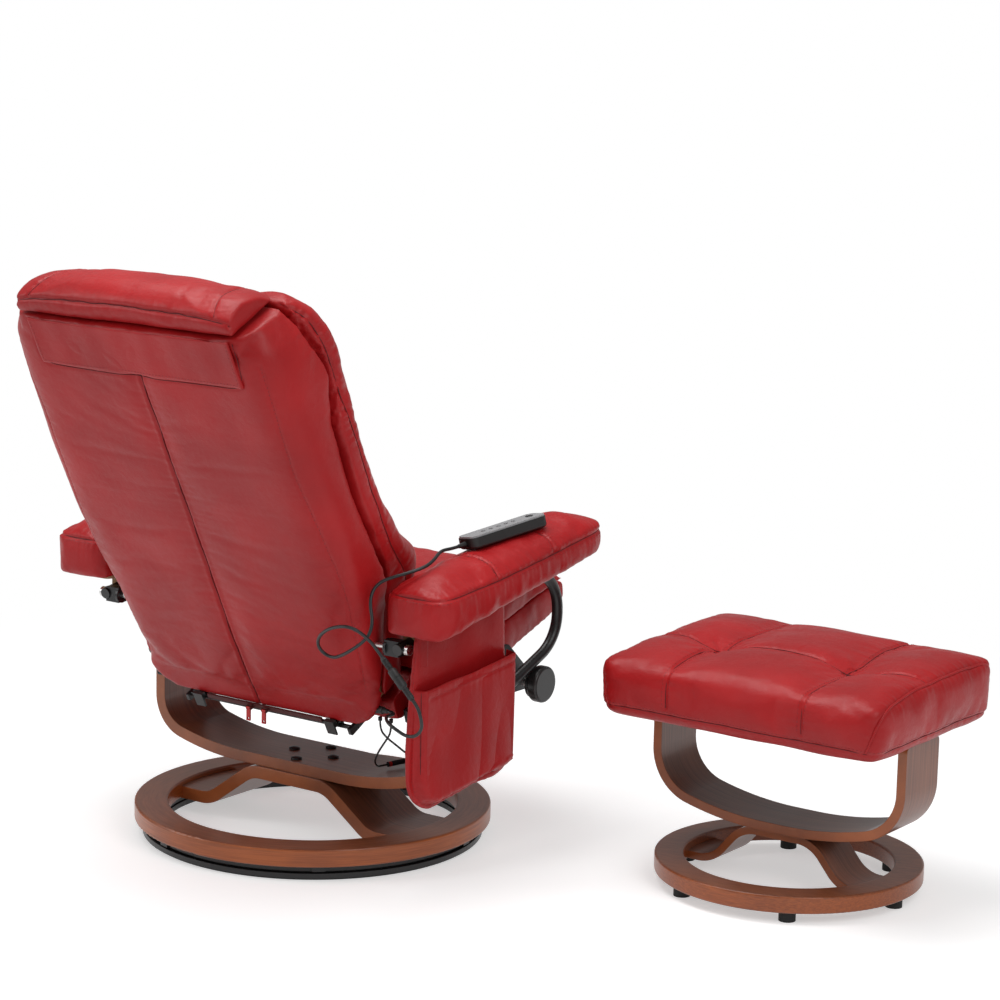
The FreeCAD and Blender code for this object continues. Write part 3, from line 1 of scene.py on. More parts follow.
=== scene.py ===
import math

import bpy
import numpy as np
from mathutils import Matrix, Vector
from mathutils.bvhtree import BVHTree


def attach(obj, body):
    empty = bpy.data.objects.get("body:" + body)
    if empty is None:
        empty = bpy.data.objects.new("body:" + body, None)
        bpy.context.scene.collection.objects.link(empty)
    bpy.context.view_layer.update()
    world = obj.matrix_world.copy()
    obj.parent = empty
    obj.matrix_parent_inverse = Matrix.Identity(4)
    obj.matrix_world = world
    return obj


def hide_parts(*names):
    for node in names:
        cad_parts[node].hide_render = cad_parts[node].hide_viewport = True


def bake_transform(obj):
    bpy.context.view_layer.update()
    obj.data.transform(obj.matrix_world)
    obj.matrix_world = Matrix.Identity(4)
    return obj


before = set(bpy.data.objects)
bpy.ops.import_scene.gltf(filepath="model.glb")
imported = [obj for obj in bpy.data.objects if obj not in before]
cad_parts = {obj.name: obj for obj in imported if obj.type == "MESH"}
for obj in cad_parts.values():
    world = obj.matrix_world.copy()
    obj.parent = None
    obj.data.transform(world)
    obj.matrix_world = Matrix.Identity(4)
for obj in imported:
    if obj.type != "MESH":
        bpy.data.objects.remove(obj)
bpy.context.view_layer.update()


# ------------------------------------------------------------
# Camera. Long lens, behind the chair and over the sitter's right shoulder, as in the photograph.

def placed(name, data):
    """A new object in the scene."""
    piece = bpy.data.objects.new(name, data)
    bpy.context.scene.collection.objects.link(piece)
    return piece


camera_data = bpy.data.cameras.new("camera")
camera_data.lens = 108
camera_data.sensor_width = 36
camera = placed("camera", camera_data)
camera.matrix_world = Matrix((
    (-0.8114, 0.1255, -0.5708, -3.189),
    (-0.5840, -0.1363, 0.8002, 3.930),
    (0.0226, 0.9826, 0.1839, 1.537),
    (0.0, 0.0, 0.0, 1.0),
))
bpy.context.scene.camera = camera


# ------------------------------------------------------------
# Cords. The handset's cord and its tail are one soft black cable with a plug-in connector half
# way; a thinner two-part cable hangs in a loop under the seat, joined by a small coupling.

def metres(points):
    """Points written in millimetres, as Blender's vectors in metres."""
    return [Vector(point) * 0.001 for point in points]


def finished_mesh(piece):
    """The piece's mesh with its modifiers or its curve's thickness worked in."""
    return bpy.data.meshes.new_from_object(piece.evaluated_get(bpy.context.evaluated_depsgraph_get()))


def blank_material(name):
    """A new material and its shader nodes."""
    material = bpy.data.materials.new(name)
    material.use_nodes = True
    return material, material.node_tree.nodes


def feed(node, *numbered, **named):
    """Set or link a shader node's inputs, by number or by name with underscores for spaces."""
    for key, value in [*enumerate(numbered), *named.items()]:
        socket = node.inputs[key.replace("_", " ") if isinstance(key, str) else key]
        if isinstance(value, bpy.types.NodeSocket):
            node.id_data.links.new(value, socket)
        elif value is not None:
            socket.default_value = value


def add_node(nodes, kind, *numbered, **named):
    """A new shader node. Names in lower case are its settings, the rest are its inputs."""
    node = nodes.new("ShaderNode" + kind)
    for key in [key for key in named if key.islower()]:
        setattr(node, key, named.pop(key))
    feed(node, *numbered, **named)
    return node


def surface(name, colour, roughness, metallic=0.0, edge=0.0, grain=None):
    """A plain finish with a rounded-edge highlight. grain is (scale, height, roughness spread)."""
    material, nodes = blank_material(name)
    shader = nodes["Principled BSDF"]
    feed(shader, Base_Color=(*colour, 1), Roughness=roughness, Metallic=metallic)
    normal = None
    if edge:
        rounded = add_node(nodes, "Bevel", samples=4, Radius=edge)
        normal = rounded.outputs["Normal"]
    if grain:
        scale, height, spread = grain
        place = add_node(nodes, "TexCoord")
        speckle = add_node(nodes, "TexNoise", Scale=scale, Detail=4, Vector=place.outputs["Object"])
        bump = add_node(
            nodes, "Bump", Distance=height, Strength=0.6, Height=speckle.outputs["Fac"], Normal=normal,
        )
        normal = bump.outputs["Normal"]
        gloss = add_node(
            nodes, "MapRange", From_Min=0.3, From_Max=0.7, To_Min=roughness - spread,
            To_Max=roughness + spread, Value=speckle.outputs["Fac"],
        )
        feed(shader, Roughness=gloss.outputs["Result"])
    feed(shader, Normal=normal)
    return material


def cord_curve(name, points, radius, material):
    """A round cable whose smooth line follows the route's points."""
    curve = bpy.data.curves.new(name, "CURVE")
    curve.dimensions = "3D"
    spline = curve.splines.new("NURBS")
    spline.points.add(len(points) - 1)
    for place, point in zip(points, spline.points):
        point.co = (*place, 1)
    spline.order_u = 3
    spline.use_endpoint_u = True
    spline.resolution_u = 10
    curve.bevel_depth = radius
    curve.bevel_resolution = 5
    curve.use_fill_caps = True
    curve.materials.append(material)
    return placed(name, curve)


def turned(name, start, end, profile, material, around=28):
    """A piece turned about the line from start to end. profile holds (share of the way, radius)."""
    start = Vector(start)
    axis = Vector(end) - start
    side = axis.orthogonal().normalized()
    other = axis.normalized().cross(side)
    mesh = bpy.data.meshes.new(name)
    places = []
    faces = []
    for share, radius in profile:
        for step in range(around):
            turn = 2 * math.pi * step / around
            outward = side * math.cos(turn) + other * math.sin(turn)
            places.append(start + axis * share + outward * radius)
    for row in range(len(profile) - 1):
        for step in range(around):
            after = (step + 1) % around
            first = row * around
            second = first + around
            faces.append((first + step, first + after, second + after, second + step))
    faces.append(tuple(reversed(range(around))))
    faces.append(tuple(range(len(places) - around, len(places))))
    mesh.from_pydata(places, [], faces)
    mesh.shade_smooth()
    mesh.set_sharp_from_angle(angle=math.radians(40))
    mesh.materials.append(material)
    return placed(name, mesh)


cord_black = surface("cord_black", (0.012, 0.012, 0.013), 0.42, grain=(900, 0.0001, 0.05))
relief_black = surface("relief_black", (0.014, 0.014, 0.014), 0.5, grain=(1500, 0.0001, 0.05))

handset_route = metres([
    (-330.75, 36.885, 554.327), (-327.86, 50.46, 552.50), (-323, 70, 552), (-333, 96, 551),
    (-347, 124, 549), (-353, 150, 543), (-343, 173, 536), (-325, 192, 529), (-306, 207, 521),
    (-299, 220, 510), (-299, 229, 496), (-303, 234, 480), (-310, 238, 465), (-313, 243, 450),
    (-309, 248, 435), (-295, 252, 421), (-274, 250, 407), (-250, 244, 394), (-232, 240, 388),
    (-217, 241, 391), (-208, 247, 402), (-212, 255, 416), (-225, 264, 429), (-242, 272, 440),
    (-259, 279, 448), (-277, 284, 454), (-293, 285, 457), (-304, 281, 455), (-311, 275, 450),
    (-316, 266, 442), (-318, 256, 433), (-319, 246, 424), (-323.1, 238.9, 412.9), (-333.7, 239.9, 403.8),
])
tail_route = metres([
    (-399.3, 246.05, 347.2), (-409.9, 247.0, 338.1), (-416, 247, 325), (-417, 244, 312), (-415, 241, 301),
    (-407, 240, 290), (-395, 240, 284), (-380, 240, 284), (-364, 241, 291), (-349, 240, 297),
    (-334, 228, 299), (-318, 208, 297), (-304, 184, 292), (-295, 163, 288), (-286, 146, 285),
    (-273, 135.4, 283.2), (-259.0, 135.4, 283.2),
])
handset_cord = cord_curve("handset_cord_cable", handset_route, 0.0028, cord_black)
tail_line = cord_curve("connector_tail_line", tail_route, 0.0, cord_black)
tail_middle = finished_mesh(tail_line)
bpy.data.objects.remove(tail_line)
tail_cable = cord_curve("connector_tail_round", tail_route, 0.0028, cord_black)
tail_mesh = finished_mesh(tail_cable)
bpy.data.objects.remove(tail_cable)
tail_mesh.shade_smooth()
connector_tail = placed("connector_tail_cable", tail_mesh)
ribbed = [(0.0, 0.0034), (0.0, 0.0042), (0.03, 0.0046)]
for rib in range(5):
    near = 0.05 + rib * 0.045
    ribbed += [(near, 0.0052), (near + 0.022, 0.0053), (near + 0.026, 0.0044), (near + 0.042, 0.0045)]
ribbed += [(0.29, 0.0064), (0.31, 0.0074), (0.485, 0.0075), (0.489, 0.0068), (0.5, 0.0068)]
ribbed += [(1 - share, radius) for share, radius in reversed(ribbed)]
connector = turned(
    "cord_connector_body", handset_route[-1], tail_route[0], ribbed, relief_black,
)
gland = turned(
    "tail_gland", metres([(-266, 135.4, 283.2)])[0], metres([(-232, 135.4, 283.2)])[0],
    [(0, 0.0030), (0, 0.0038), (0.27, 0.0050), (0.30, 0.0064), (0.95, 0.0065), (1.0, 0.0060), (1.0, 0.0020)],
    relief_black,
)
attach(handset_cord, "swivel")
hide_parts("handset_cord")
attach(connector, "swivel")
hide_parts("cord_connector")
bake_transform(connector_tail)
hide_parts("connector_tail")
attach(gland, "backrest")
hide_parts("cable_gland")

loop_down_route = metres([
    (-236, 88, 249.5), (-236, 88, 233.5), (-226, 84, 220), (-211, 79, 203), (-195, 70, 186), (-179, 57, 168),
    (-169, 42, 156), (-163, 28, 149), (-160.6, 20.6, 146.4), (-167, 6, 147.5),
])
loop_up_route = metres([
    (-182, -28, 150), (-188.4, -42.6, 151.1), (-203, -53, 155), (-221, -52, 158), (-236, -40, 161),
    (-247, -20, 165), (-253, 3, 169), (-256, 27, 175), (-255, 48, 184), (-248, 65, 196), (-238, 76, 209),
    (-224, 83, 220), (-213, 88, 233.5), (-213, 88, 249.5),
])
loop_down = cord_curve("seat_loop_down", loop_down_route, 0.0017, cord_black)
loop_up = cord_curve("seat_loop_up", loop_up_route, 0.0017, cord_black)
coupling = turned(
    "seat_loop_coupling", loop_down_route[-1], loop_up_route[0],
    [(0.0, 0.0018), (0.0, 0.003), (0.12, 0.0043), (0.46, 0.0045), (0.48, 0.0041), (0.52, 0.0041),
     (0.54, 0.0045), (0.88, 0.0043), (1.0, 0.003), (1.0, 0.0018)],
    relief_black,
)
coupling_band = turned(
    "seat_loop_band", loop_down_route[-1].lerp(loop_up_route[0], 0.04),
    loop_down_route[-1].lerp(loop_up_route[0], 0.2),
    [(0.0, 0.0030), (0.02, 0.0046), (0.98, 0.0047), (1.0, 0.0030)],
    surface("band_red", (0.5, 0.02, 0.02), 0.4, grain=(900, 0.0001, 0.05)),
)
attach(loop_down, "seat")
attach(loop_up, "seat")
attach(coupling, "seat")
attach(coupling_band, "seat")
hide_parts("cable_loop")


# ------------------------------------------------------------
# Turntable. Two pressed steel rings painted satin black, with a ring of bright balls between them, a rubber
# band underneath and six spring clips around; the clips are bright, but here they take the same satin black.

def finish_nodes(material, *names):
    """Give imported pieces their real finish."""
    for name in names:
        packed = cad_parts[name]
        packed.data.materials.clear()
        packed.data.materials.append(material)


satin_black = surface(
    "satin_black_steel", (0.010, 0.010, 0.011), 0.36, edge=0.0012, grain=(260, 0.0001, 0.07)
)
soft_rubber = surface("black_rubber", (0.012, 0.012, 0.012), 0.75, edge=0.001, grain=(700, 0.0002, 0.08))
bright_steel = surface("bright_steel", (0.62, 0.61, 0.60), 0.28, 1.0, edge=0.0008, grain=(400, 0.00005, 0.08))
finish_nodes(satin_black, "turntable_lower_ring", "turntable_upper_ring", "turntable_clips")
finish_nodes(soft_rubber, "turntable_floor_band")
finish_nodes(bright_steel, "turntable_balls")


# ------------------------------------------------------------
# Bent-wood base. Ring, bridge and U-frame of bent plywood in a reddish cherry stain under clear
# lacquer: straight grain along each bend, darker and closer on the broad faces.

def stained_wood(name, light, dark, stretch, edge_tint, round_ring=False, edge=0.0022):
    """Lacquered plywood. stretch is how fine the grain is along x, y and z, in lines per metre."""
    material, nodes = blank_material(name)
    place = add_node(nodes, "TexCoord")
    coordinates = place.outputs["Object"]
    if round_ring:
        apart = add_node(nodes, "SeparateXYZ", Vector=coordinates)
        angle = add_node(nodes, "Math", apart.outputs["Y"], apart.outputs["X"], operation="ARCTAN2")
        flat = add_node(nodes, "CombineXYZ", X=apart.outputs["X"], Y=apart.outputs["Y"])
        distance = add_node(nodes, "VectorMath", flat.outputs["Vector"], operation="LENGTH")
        joined = add_node(
            nodes, "CombineXYZ", X=angle.outputs["Value"], Y=distance.outputs["Value"],
            Z=apart.outputs["Z"],
        )
        coordinates = joined.outputs["Vector"]
    mapping = add_node(nodes, "Mapping", Scale=stretch, Vector=coordinates)
    fine = add_node(
        nodes, "TexNoise", Scale=1, Detail=6, Roughness=0.65, Distortion=0.15,
        Vector=mapping.outputs["Vector"],
    )
    broad = add_node(nodes, "TexNoise", Scale=9, Detail=2, Vector=place.outputs["Object"])
    both = add_node(
        nodes, "Math", broad.outputs["Fac"], 0.35, fine.outputs["Fac"], operation="MULTIPLY_ADD",
    )
    ramp = add_node(nodes, "ValToRGB", Fac=both.outputs["Value"])
    ramp.color_ramp.elements[0].position = 0.50
    ramp.color_ramp.elements[0].color = (*dark, 1)
    ramp.color_ramp.elements[1].position = 0.85
    ramp.color_ramp.elements[1].color = (*light, 1)
    facing = add_node(nodes, "SeparateXYZ", Vector=place.outputs["Normal"])
    sideways = add_node(nodes, "Math", facing.outputs["Z" if round_ring else "Y"], operation="ABSOLUTE")
    edge_share = add_node(
        nodes, "MapRange", From_Min=0.4, From_Max=0.8, To_Min=1.0 if round_ring else 0.0,
        To_Max=0.0 if round_ring else 1.0, Value=sideways.outputs["Value"],
    )
    layers = add_node(
        nodes, "Mix", data_type="RGBA", blend_type="MULTIPLY", B=(*edge_tint, 1),
        Factor=edge_share.outputs["Result"], A=ramp.outputs["Color"],
    )
    rounded = add_node(nodes, "Bevel", samples=6, Radius=edge)
    bump = add_node(
        nodes, "Bump", Distance=0.0002, Strength=0.5, Height=fine.outputs["Fac"],
        Normal=rounded.outputs["Normal"],
    )
    feed(
        nodes["Principled BSDF"], Base_Color=layers.outputs["Result"], Roughness=0.36, Coat_Weight=0.15,
        Coat_Roughness=0.16, Normal=bump.outputs["Normal"],
    )
    return material


ring_wood = stained_wood(
    "cherry_ring", (0.300, 0.098, 0.042), (0.185, 0.054, 0.022), (4, 160, 420), (1.5, 1.15, 0.55),
    round_ring=True,
)
bent_wood = stained_wood(
    "cherry_bend", (0.270, 0.086, 0.040), (0.140, 0.042, 0.019), (5, 330, 5), (1.6, 1.35, 0.75)
)
finish_nodes(ring_wood, "base_ring")
finish_nodes(bent_wood, "base_bridge", "u_frame")


# ------------------------------------------------------------
# Bolts and caps. Round-headed bright bolts hold the bent pieces together, and the four on the
# U-frame's bottom carry low black plastic caps.

black_plastic = surface("black_plastic", (0.013, 0.013, 0.013), 0.38, edge=0.0009, grain=(1400, 0.0001, 0.06))
finish_nodes(bright_steel, "frame_bolts")
finish_nodes(black_plastic, "frame_bolt_caps")


# ------------------------------------------------------------
# Steel frame. Sloping side rails, the tube across, the bent arm tubes and the brackets that the back turns
# on, painted satin black; black plastic caps end the arm tubes, and the bolts that the back turns on are
# bright steel.

finish_nodes(
    satin_black, "side_rail_left", "side_rail_right", "cross_tube", "arm_tube_left", "arm_tube_right",
    "rear_brackets", "seat_runners", "seat_hinge_rod",
)
finish_nodes(black_plastic, "arm_tube_caps")
finish_nodes(bright_steel, "knob_studs", "pivot_bolts")
finish_nodes(
    surface("plain_plywood", (0.42, 0.27, 0.14), 0.6, grain=(90, 0.0003, 0.08)), "arm_boards", "back_frame"
)


# ------------------------------------------------------------
# Tension knobs. Thick moulded black discs with rounded rims on short necks, one each side.

knob_black = surface("knob_black", (0.014, 0.013, 0.013), 0.33, edge=0.0015, grain=(1200, 0.0001, 0.05))
finish_nodes(knob_black, "tension_knob_left", "tension_knob_right")


# ------------------------------------------------------------
# Back shell. Red leather drawn over a moulded rear shell, in two panels joined down the middle,
# with a line of stitches inside each side edge.

def leather(name="red_leather", colour=(0.41, 0.009, 0.011)):
    """Corrected-grain leather: fine pores, faint creases, a soft uneven gloss."""
    material, nodes = blank_material(name)
    place = add_node(nodes, "TexCoord")
    pores = add_node(nodes, "TexVoronoi", Scale=620, Vector=place.outputs["Object"])
    creases = add_node(
        nodes, "TexNoise", Scale=95, Detail=6, Roughness=0.6, Distortion=0.6,
        Vector=place.outputs["Object"],
    )
    cloud = add_node(nodes, "TexNoise", Scale=7, Detail=3, Vector=place.outputs["Object"])
    ramp = add_node(nodes, "ValToRGB", Fac=cloud.outputs["Fac"])
    ramp.color_ramp.elements[0].position = 0.35
    ramp.color_ramp.elements[0].color = (*[part * 0.86 for part in colour], 1)
    ramp.color_ramp.elements[1].position = 0.70
    ramp.color_ramp.elements[1].color = (*[part * 1.10 for part in colour], 1)
    gloss = add_node(
        nodes, "MapRange", From_Min=0.3, From_Max=0.7, To_Min=0.36, To_Max=0.48,
        Value=creases.outputs["Fac"],
    )
    pore_bump = add_node(nodes, "Bump", Distance=0.00025, Strength=0.35, Height=pores.outputs["Distance"])
    crease_bump = add_node(
        nodes, "Bump", Distance=0.0012, Strength=0.45, Height=creases.outputs["Fac"],
        Normal=pore_bump.outputs["Normal"],
    )
    feed(
        nodes["Principled BSDF"], Base_Color=ramp.outputs["Color"], Roughness=gloss.outputs["Result"],
        Specular_IOR_Level=0.32, Normal=crease_bump.outputs["Normal"],
    )
    return material


def get_places(piece):
    """The mesh's points as one array."""
    places = np.empty(len(piece.data.vertices) * 3)
    piece.data.vertices.foreach_get("co", places)
    return places.reshape(-1, 3)


def set_places(piece, places):
    piece.data.vertices.foreach_set("co", places.ravel())
    piece.data.update()


def get_normals(piece):
    normals = np.empty(len(piece.data.vertices) * 3)
    piece.data.vertices.foreach_get("normal", normals)
    return normals.reshape(-1, 3)


def apply_modifiers(piece):
    """Bake what the piece's modifiers do into its own mesh."""
    done = finished_mesh(piece)
    piece.modifiers.clear()
    piece.data = done


def resampled(path, step):
    """The same line with a point every step, straight between its corners."""
    path = np.array([tuple(point) for point in path])
    runs = np.linalg.norm(np.diff(path, axis=0), axis=1)
    along = np.concatenate([[0], np.cumsum(runs)])
    count = max(2, int(round(along[-1] / step)) + 1)
    wanted = np.linspace(0, along[-1], count)
    return np.stack([np.interp(wanted, along, path[:, axis]) for axis in range(3)], axis=1)


def smooth_line(path, step=0.006, rounds=6):
    """A gently curved line near the given points."""
    points = resampled(path, step)
    for _ in range(rounds):
        points[1:-1] = (points[:-2] + 2 * points[1:-1] + points[2:]) / 4
    return points


def near_line(places, line, reach):
    """For each point within reach of the line: which point, how far away, and how far along."""
    low = line.min(axis=0) - reach
    high = line.max(axis=0) + reach
    chosen = np.nonzero(np.all((places > low) & (places < high), axis=1))[0]
    away = np.full(len(chosen), 1e9)
    along = np.zeros(len(chosen))
    travelled = 0.0
    for start, end in zip(line[:-1], line[1:]):
        run = end - start
        length = np.linalg.norm(run)
        share = np.clip(((places[chosen] - start) @ run) / (length * length + 1e-12), 0, 1)
        gap = np.linalg.norm(places[chosen] - start - share[:, None] * run, axis=1)
        closer = gap < away
        away[closer] = gap[closer]
        along[closer] = travelled + share[closer] * length
        travelled += length
    kept = away < reach
    return chosen[kept], away[kept], along[kept]


def tree_of(piece):
    """The piece's faces, ready to be asked for the nearest point."""
    return BVHTree.FromPolygons(
        [vertex.co for vertex in piece.data.vertices], [face.vertices for face in piece.data.polygons]
    )


def on_surface(piece, line, lift=0.0):
    """The line drawn onto the piece's surface."""
    tree = tree_of(piece)
    drawn = []
    normals = []
    for point in line:
        place, normal, _, _ = tree.find_nearest(Vector(point))
        drawn.append(np.array(place + normal * lift))
        normals.append(np.array(normal))
    return np.array(drawn), np.array(normals)


def ripple(along, seed, wavelengths):
    """A steady uneven wave along a line, the same each run."""
    random = np.random.default_rng(seed)
    total = np.zeros_like(along)
    for length in wavelengths:
        total += np.sin(2 * np.pi * (along / length + random.random()) + 1.5 * np.sin(along / length))
    return total / len(wavelengths)


def soft_waves(piece, height, size, seed, squeeze=(1.0, 1.0, 1.0), where=None):
    """Broad uneven hollows, as leather has over foam. squeeze below 1 stretches them that way."""
    places = get_places(piece)
    random = np.random.default_rng(seed)
    total = np.zeros(len(places))
    for _ in range(14):
        heading = random.normal(size=3)
        heading = heading / np.linalg.norm(heading) * np.array(squeeze)
        length = size * random.uniform(0.6, 1.7)
        total += np.sin(places @ heading * (2 * np.pi / length) + random.uniform(0, 6.28))
    total = total / 14 ** 0.5
    weight = 1.0 if where is None else where(places)
    places += get_normals(piece) * (total * height * weight)[:, None]
    set_places(piece, places)


def sew(piece, path, depth=0.003, width=0.006, pucker=0.0, seed=1, reach=0.035, ridge=0.0, lift=0.0):
    """Pull the cover in along a seam, with short puckers beside it and a raised lip if asked."""
    line, _ = on_surface(piece, smooth_line(path))
    places = get_places(piece)
    normals = get_normals(piece)
    chosen, away, along = near_line(places, line, reach)
    move = -depth * np.exp(-(away / width) ** 2)
    move += ridge * np.exp(-((away - 2.2 * width) / (1.3 * width)) ** 2)
    fade = np.exp(-away / (reach * 0.4)) * (1 - np.exp(-(away / width) ** 2))
    move += pucker * ripple(along, seed, (0.013, 0.021, 0.034)) * fade
    places[chosen] += normals[chosen] * (move + lift)[:, None]
    set_places(piece, places)
    return line


def stitches(name, piece, lines, material, length=0.0042, gap=0.0024, thick=0.00085):
    """Rows of thread laid on the surface, one small rounded stitch after another."""
    tree = tree_of(piece)
    places = []
    faces = []
    for line in lines:
        points = resampled(line, length + gap)
        for middle, before, after in zip(points[1:-1], points[:-2], points[2:]):
            place, normal, _, _ = tree.find_nearest(Vector(middle))
            heading = Vector(after - before)
            heading = (heading - normal * heading.dot(normal)).normalized()
            across = normal.cross(heading)
            first = len(places)
            for share, size in ((-0.5, 0.25), (-0.36, 0.8), (0.0, 1.0), (0.36, 0.8), (0.5, 0.25)):
                for turn in range(6):
                    angle = math.pi * turn / 3
                    side = across * math.cos(angle) + normal * math.sin(angle)
                    dip = -0.0006 * (abs(share) * 2) ** 3
                    places.append(
                        place + heading * share * length + side * thick * size / 2 + normal * (0.0002 + dip)
                    )
            for row in range(4):
                for turn in range(6):
                    near = first + row * 6
                    far = near + 6
                    after_turn = (turn + 1) % 6
                    faces.append((near + turn, near + after_turn, far + after_turn, far + turn))
            faces.append(tuple(first + turn for turn in reversed(range(6))))
            faces.append(tuple(first + 24 + turn for turn in range(6)))
    mesh = bpy.data.meshes.new(name)
    mesh.from_pydata(places, [], faces)
    mesh.shade_smooth()
    mesh.materials.append(material)
    return placed(name, mesh)


def piping(name, piece, path, radius, material, lift=0.0, closed=False):
    """A round bead half sunk in the cover along a seam. With leather it is a covered cord; with seam_shade it
    is painted shade in the seam's groove.
    """
    line, _ = on_surface(piece, smooth_line(path), lift)
    for _ in range(4):
        line[1:-1] = (line[:-2] + 2 * line[1:-1] + line[2:]) / 4
    curve = bpy.data.curves.new(name, "CURVE")
    curve.dimensions = "3D"
    spline = curve.splines.new("POLY")
    spline.points.add(len(line) - 1)
    for place, point in zip(line, spline.points):
        point.co = (*place, 1)
    spline.use_cyclic_u = closed
    curve.bevel_depth = radius
    curve.bevel_resolution = 3
    curve.use_fill_caps = True
    bead = placed(name, curve)
    mesh = finished_mesh(bead)
    bpy.data.objects.remove(bead)
    mesh.shade_smooth()
    mesh.materials.clear()
    mesh.materials.append(material)
    return placed(name, mesh)


def cover_of(node, name, voxel, draw_in=0.0):
    """Start of a sewn cover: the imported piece's form, evenly meshed, drawn in a little."""
    piece = placed(name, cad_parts[node].data.copy())
    piece.data.materials.clear()
    even = piece.modifiers.new("even_mesh", "REMESH")
    even.mode = "VOXEL"
    even.voxel_size = voxel
    apply_modifiers(piece)
    if draw_in:
        set_places(piece, get_places(piece) - get_normals(piece) * draw_in)
    return piece


def smoothed(piece, rounds, strength=0.5):
    soften = piece.modifiers.new("soften", "SMOOTH")
    soften.iterations = rounds
    soften.factor = strength
    apply_modifiers(piece)


def refined(piece):
    """Split each face in four and shade the cover smooth."""
    finer = piece.modifiers.new("finer", "SUBSURF")
    finer.levels = 1
    apply_modifiers(piece)
    piece.data.shade_smooth()


def stuffed(piece, held, cap, pressure=4.0, slack=0.03, frames=10, calm=4):
    """Blow the cover up over its filling. held gives how firmly each point is kept, 0 to 1."""
    start = get_places(piece)
    group = piece.vertex_groups.new(name="held")
    firm = held(start)
    for level in np.unique(np.round(firm, 1)):
        if level > 0:
            members = np.nonzero(np.round(firm, 1) == level)[0].tolist()
            group.add(members, float(level), "REPLACE")
    cover = piece.modifiers.new("cover", "CLOTH")
    cover.settings.quality = 4
    cover.settings.mass = 0.3
    cover.settings.tension_stiffness = 15
    cover.settings.compression_stiffness = 15
    cover.settings.bending_stiffness = 0.5
    cover.settings.use_pressure = True
    cover.settings.uniform_pressure_force = pressure
    cover.settings.shrink_min = -slack
    cover.settings.shrink_max = -slack
    cover.settings.effector_weights.gravity = 0
    cover.settings.vertex_group_mass = "held"
    cover.collision_settings.use_collision = False
    cover.point_cache.frame_start = 1
    cover.point_cache.frame_end = frames
    for number in range(1, frames + 1):
        bpy.context.scene.frame_set(number)
    graph = bpy.context.evaluated_depsgraph_get()
    blown = piece.evaluated_get(graph)
    places = np.empty(len(start) * 3)
    blown.data.vertices.foreach_get("co", places)
    move = places.reshape(-1, 3) - start
    piece.modifiers.clear()
    bpy.context.scene.frame_set(1)
    far = np.linalg.norm(move, axis=1)
    move *= (cap * np.tanh(far / cap) / np.maximum(far, 1e-9))[:, None]
    set_places(piece, start + move)
    smoothed(piece, calm)
    refined(piece)


def seam_shade_line(name, piece, line, body):
    """A thin dark bead at the bottom of a sewn seam: painted shade in the seam's groove."""
    trim(piping(name, piece, line, 0.0007, seam_shade, lift=0.0001), body)


def let_down(piece, drop):
    """Lower the cover's underside, so that it hides the board in it."""
    places = get_places(piece)
    below = np.clip((-get_normals(piece)[:, 2] - 0.3) / 0.4, 0, 1)
    places[:, 2] -= drop * below
    set_places(piece, places)


def dimple(piece, centre, radius, depth, creases, seed):
    """A buttoned hollow with creases running out from it."""
    places = get_places(piece)
    apart = places - np.array(centre)
    away = np.linalg.norm(apart[:, :2], axis=1)
    facing = np.clip(get_normals(piece)[:, 2], 0, 1)
    turn = np.arctan2(apart[:, 1], apart[:, 0])
    random = np.random.default_rng(seed)
    rays = np.zeros(len(places))
    for count in (5, 7, 11):
        rays += np.sin(count * turn + random.uniform(0, 6.28))
    ring_share = np.exp(-((away - 0.55 * radius) / (0.45 * radius)) ** 2)
    places[:, 2] -= facing * (depth * np.exp(-away / (0.42 * radius)) + creases * rays / 3 * ring_share)
    set_places(piece, places)


red_leather = leather()
red_thread = surface("red_thread", (0.24, 0.012, 0.014), 0.6, grain=(3000, 0.0001, 0.05))
# seam_shade: a dark colour for painted shade, laid as thin beads in the seam grooves.
seam_shade = surface("seam_shade", (0.10, 0.006, 0.008), 0.8, grain=(3000, 0.0001, 0.05))
back_lean = math.radians(27.7)
lean_cos = math.cos(back_lean)
lean_sin = math.sin(back_lean)


def back_point(side, depth, height):
    """A point given from the back's own directions in mm: to the left, behind the rear face, up it."""
    return Vector((
        side, 3.65 + lean_cos * depth + lean_sin * height, -lean_sin * depth + lean_cos * height
    )) * 0.001


def back_depth_of(places):
    """How far each point lies behind the rear face (negative in front), and how far up."""
    forward = places[:, 1] - 0.00365
    depth = lean_cos * forward - lean_sin * places[:, 2]
    height = lean_sin * forward + lean_cos * places[:, 2]
    return depth, height


def dress(piece, body, *nodes, fill=None):
    piece.data.materials.append(red_leather)
    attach(piece, body)
    if nodes:
        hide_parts(*nodes)


def trim(piece, body):
    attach(piece, body)


shell = cover_of("back_shell", "back_shell_cover", 0.0055, 0.002)
smoothed(shell, 6)


def shell_held(places):
    depth, height = back_depth_of(places)
    middle = np.exp(-(places[:, 0] / 0.008) ** 2)
    inside = (depth < -0.012) & (np.abs(places[:, 0]) < 0.235)
    low = height < 0.33
    return np.clip(middle + inside + low, 0, 1)


stuffed(shell, shell_held, 0.007, pressure=2.5, slack=0.01)
soft_waves(shell, 0.0007, 0.11, 3)
shell_middle = [
    back_point(side, 2, height) for side, height in (
        (-4, 990), (-2, 900), (1, 800), (4, 700), (7, 600), (10, 500), (12, 420), (12, 360), (12, 330),
        (12, 305), (12, 276),
    )
]
shell_seam = sew(
    shell, shell_middle, depth=0.0032, width=0.0026, pucker=0.0007, seed=5, reach=0.05, ridge=0.0008
)
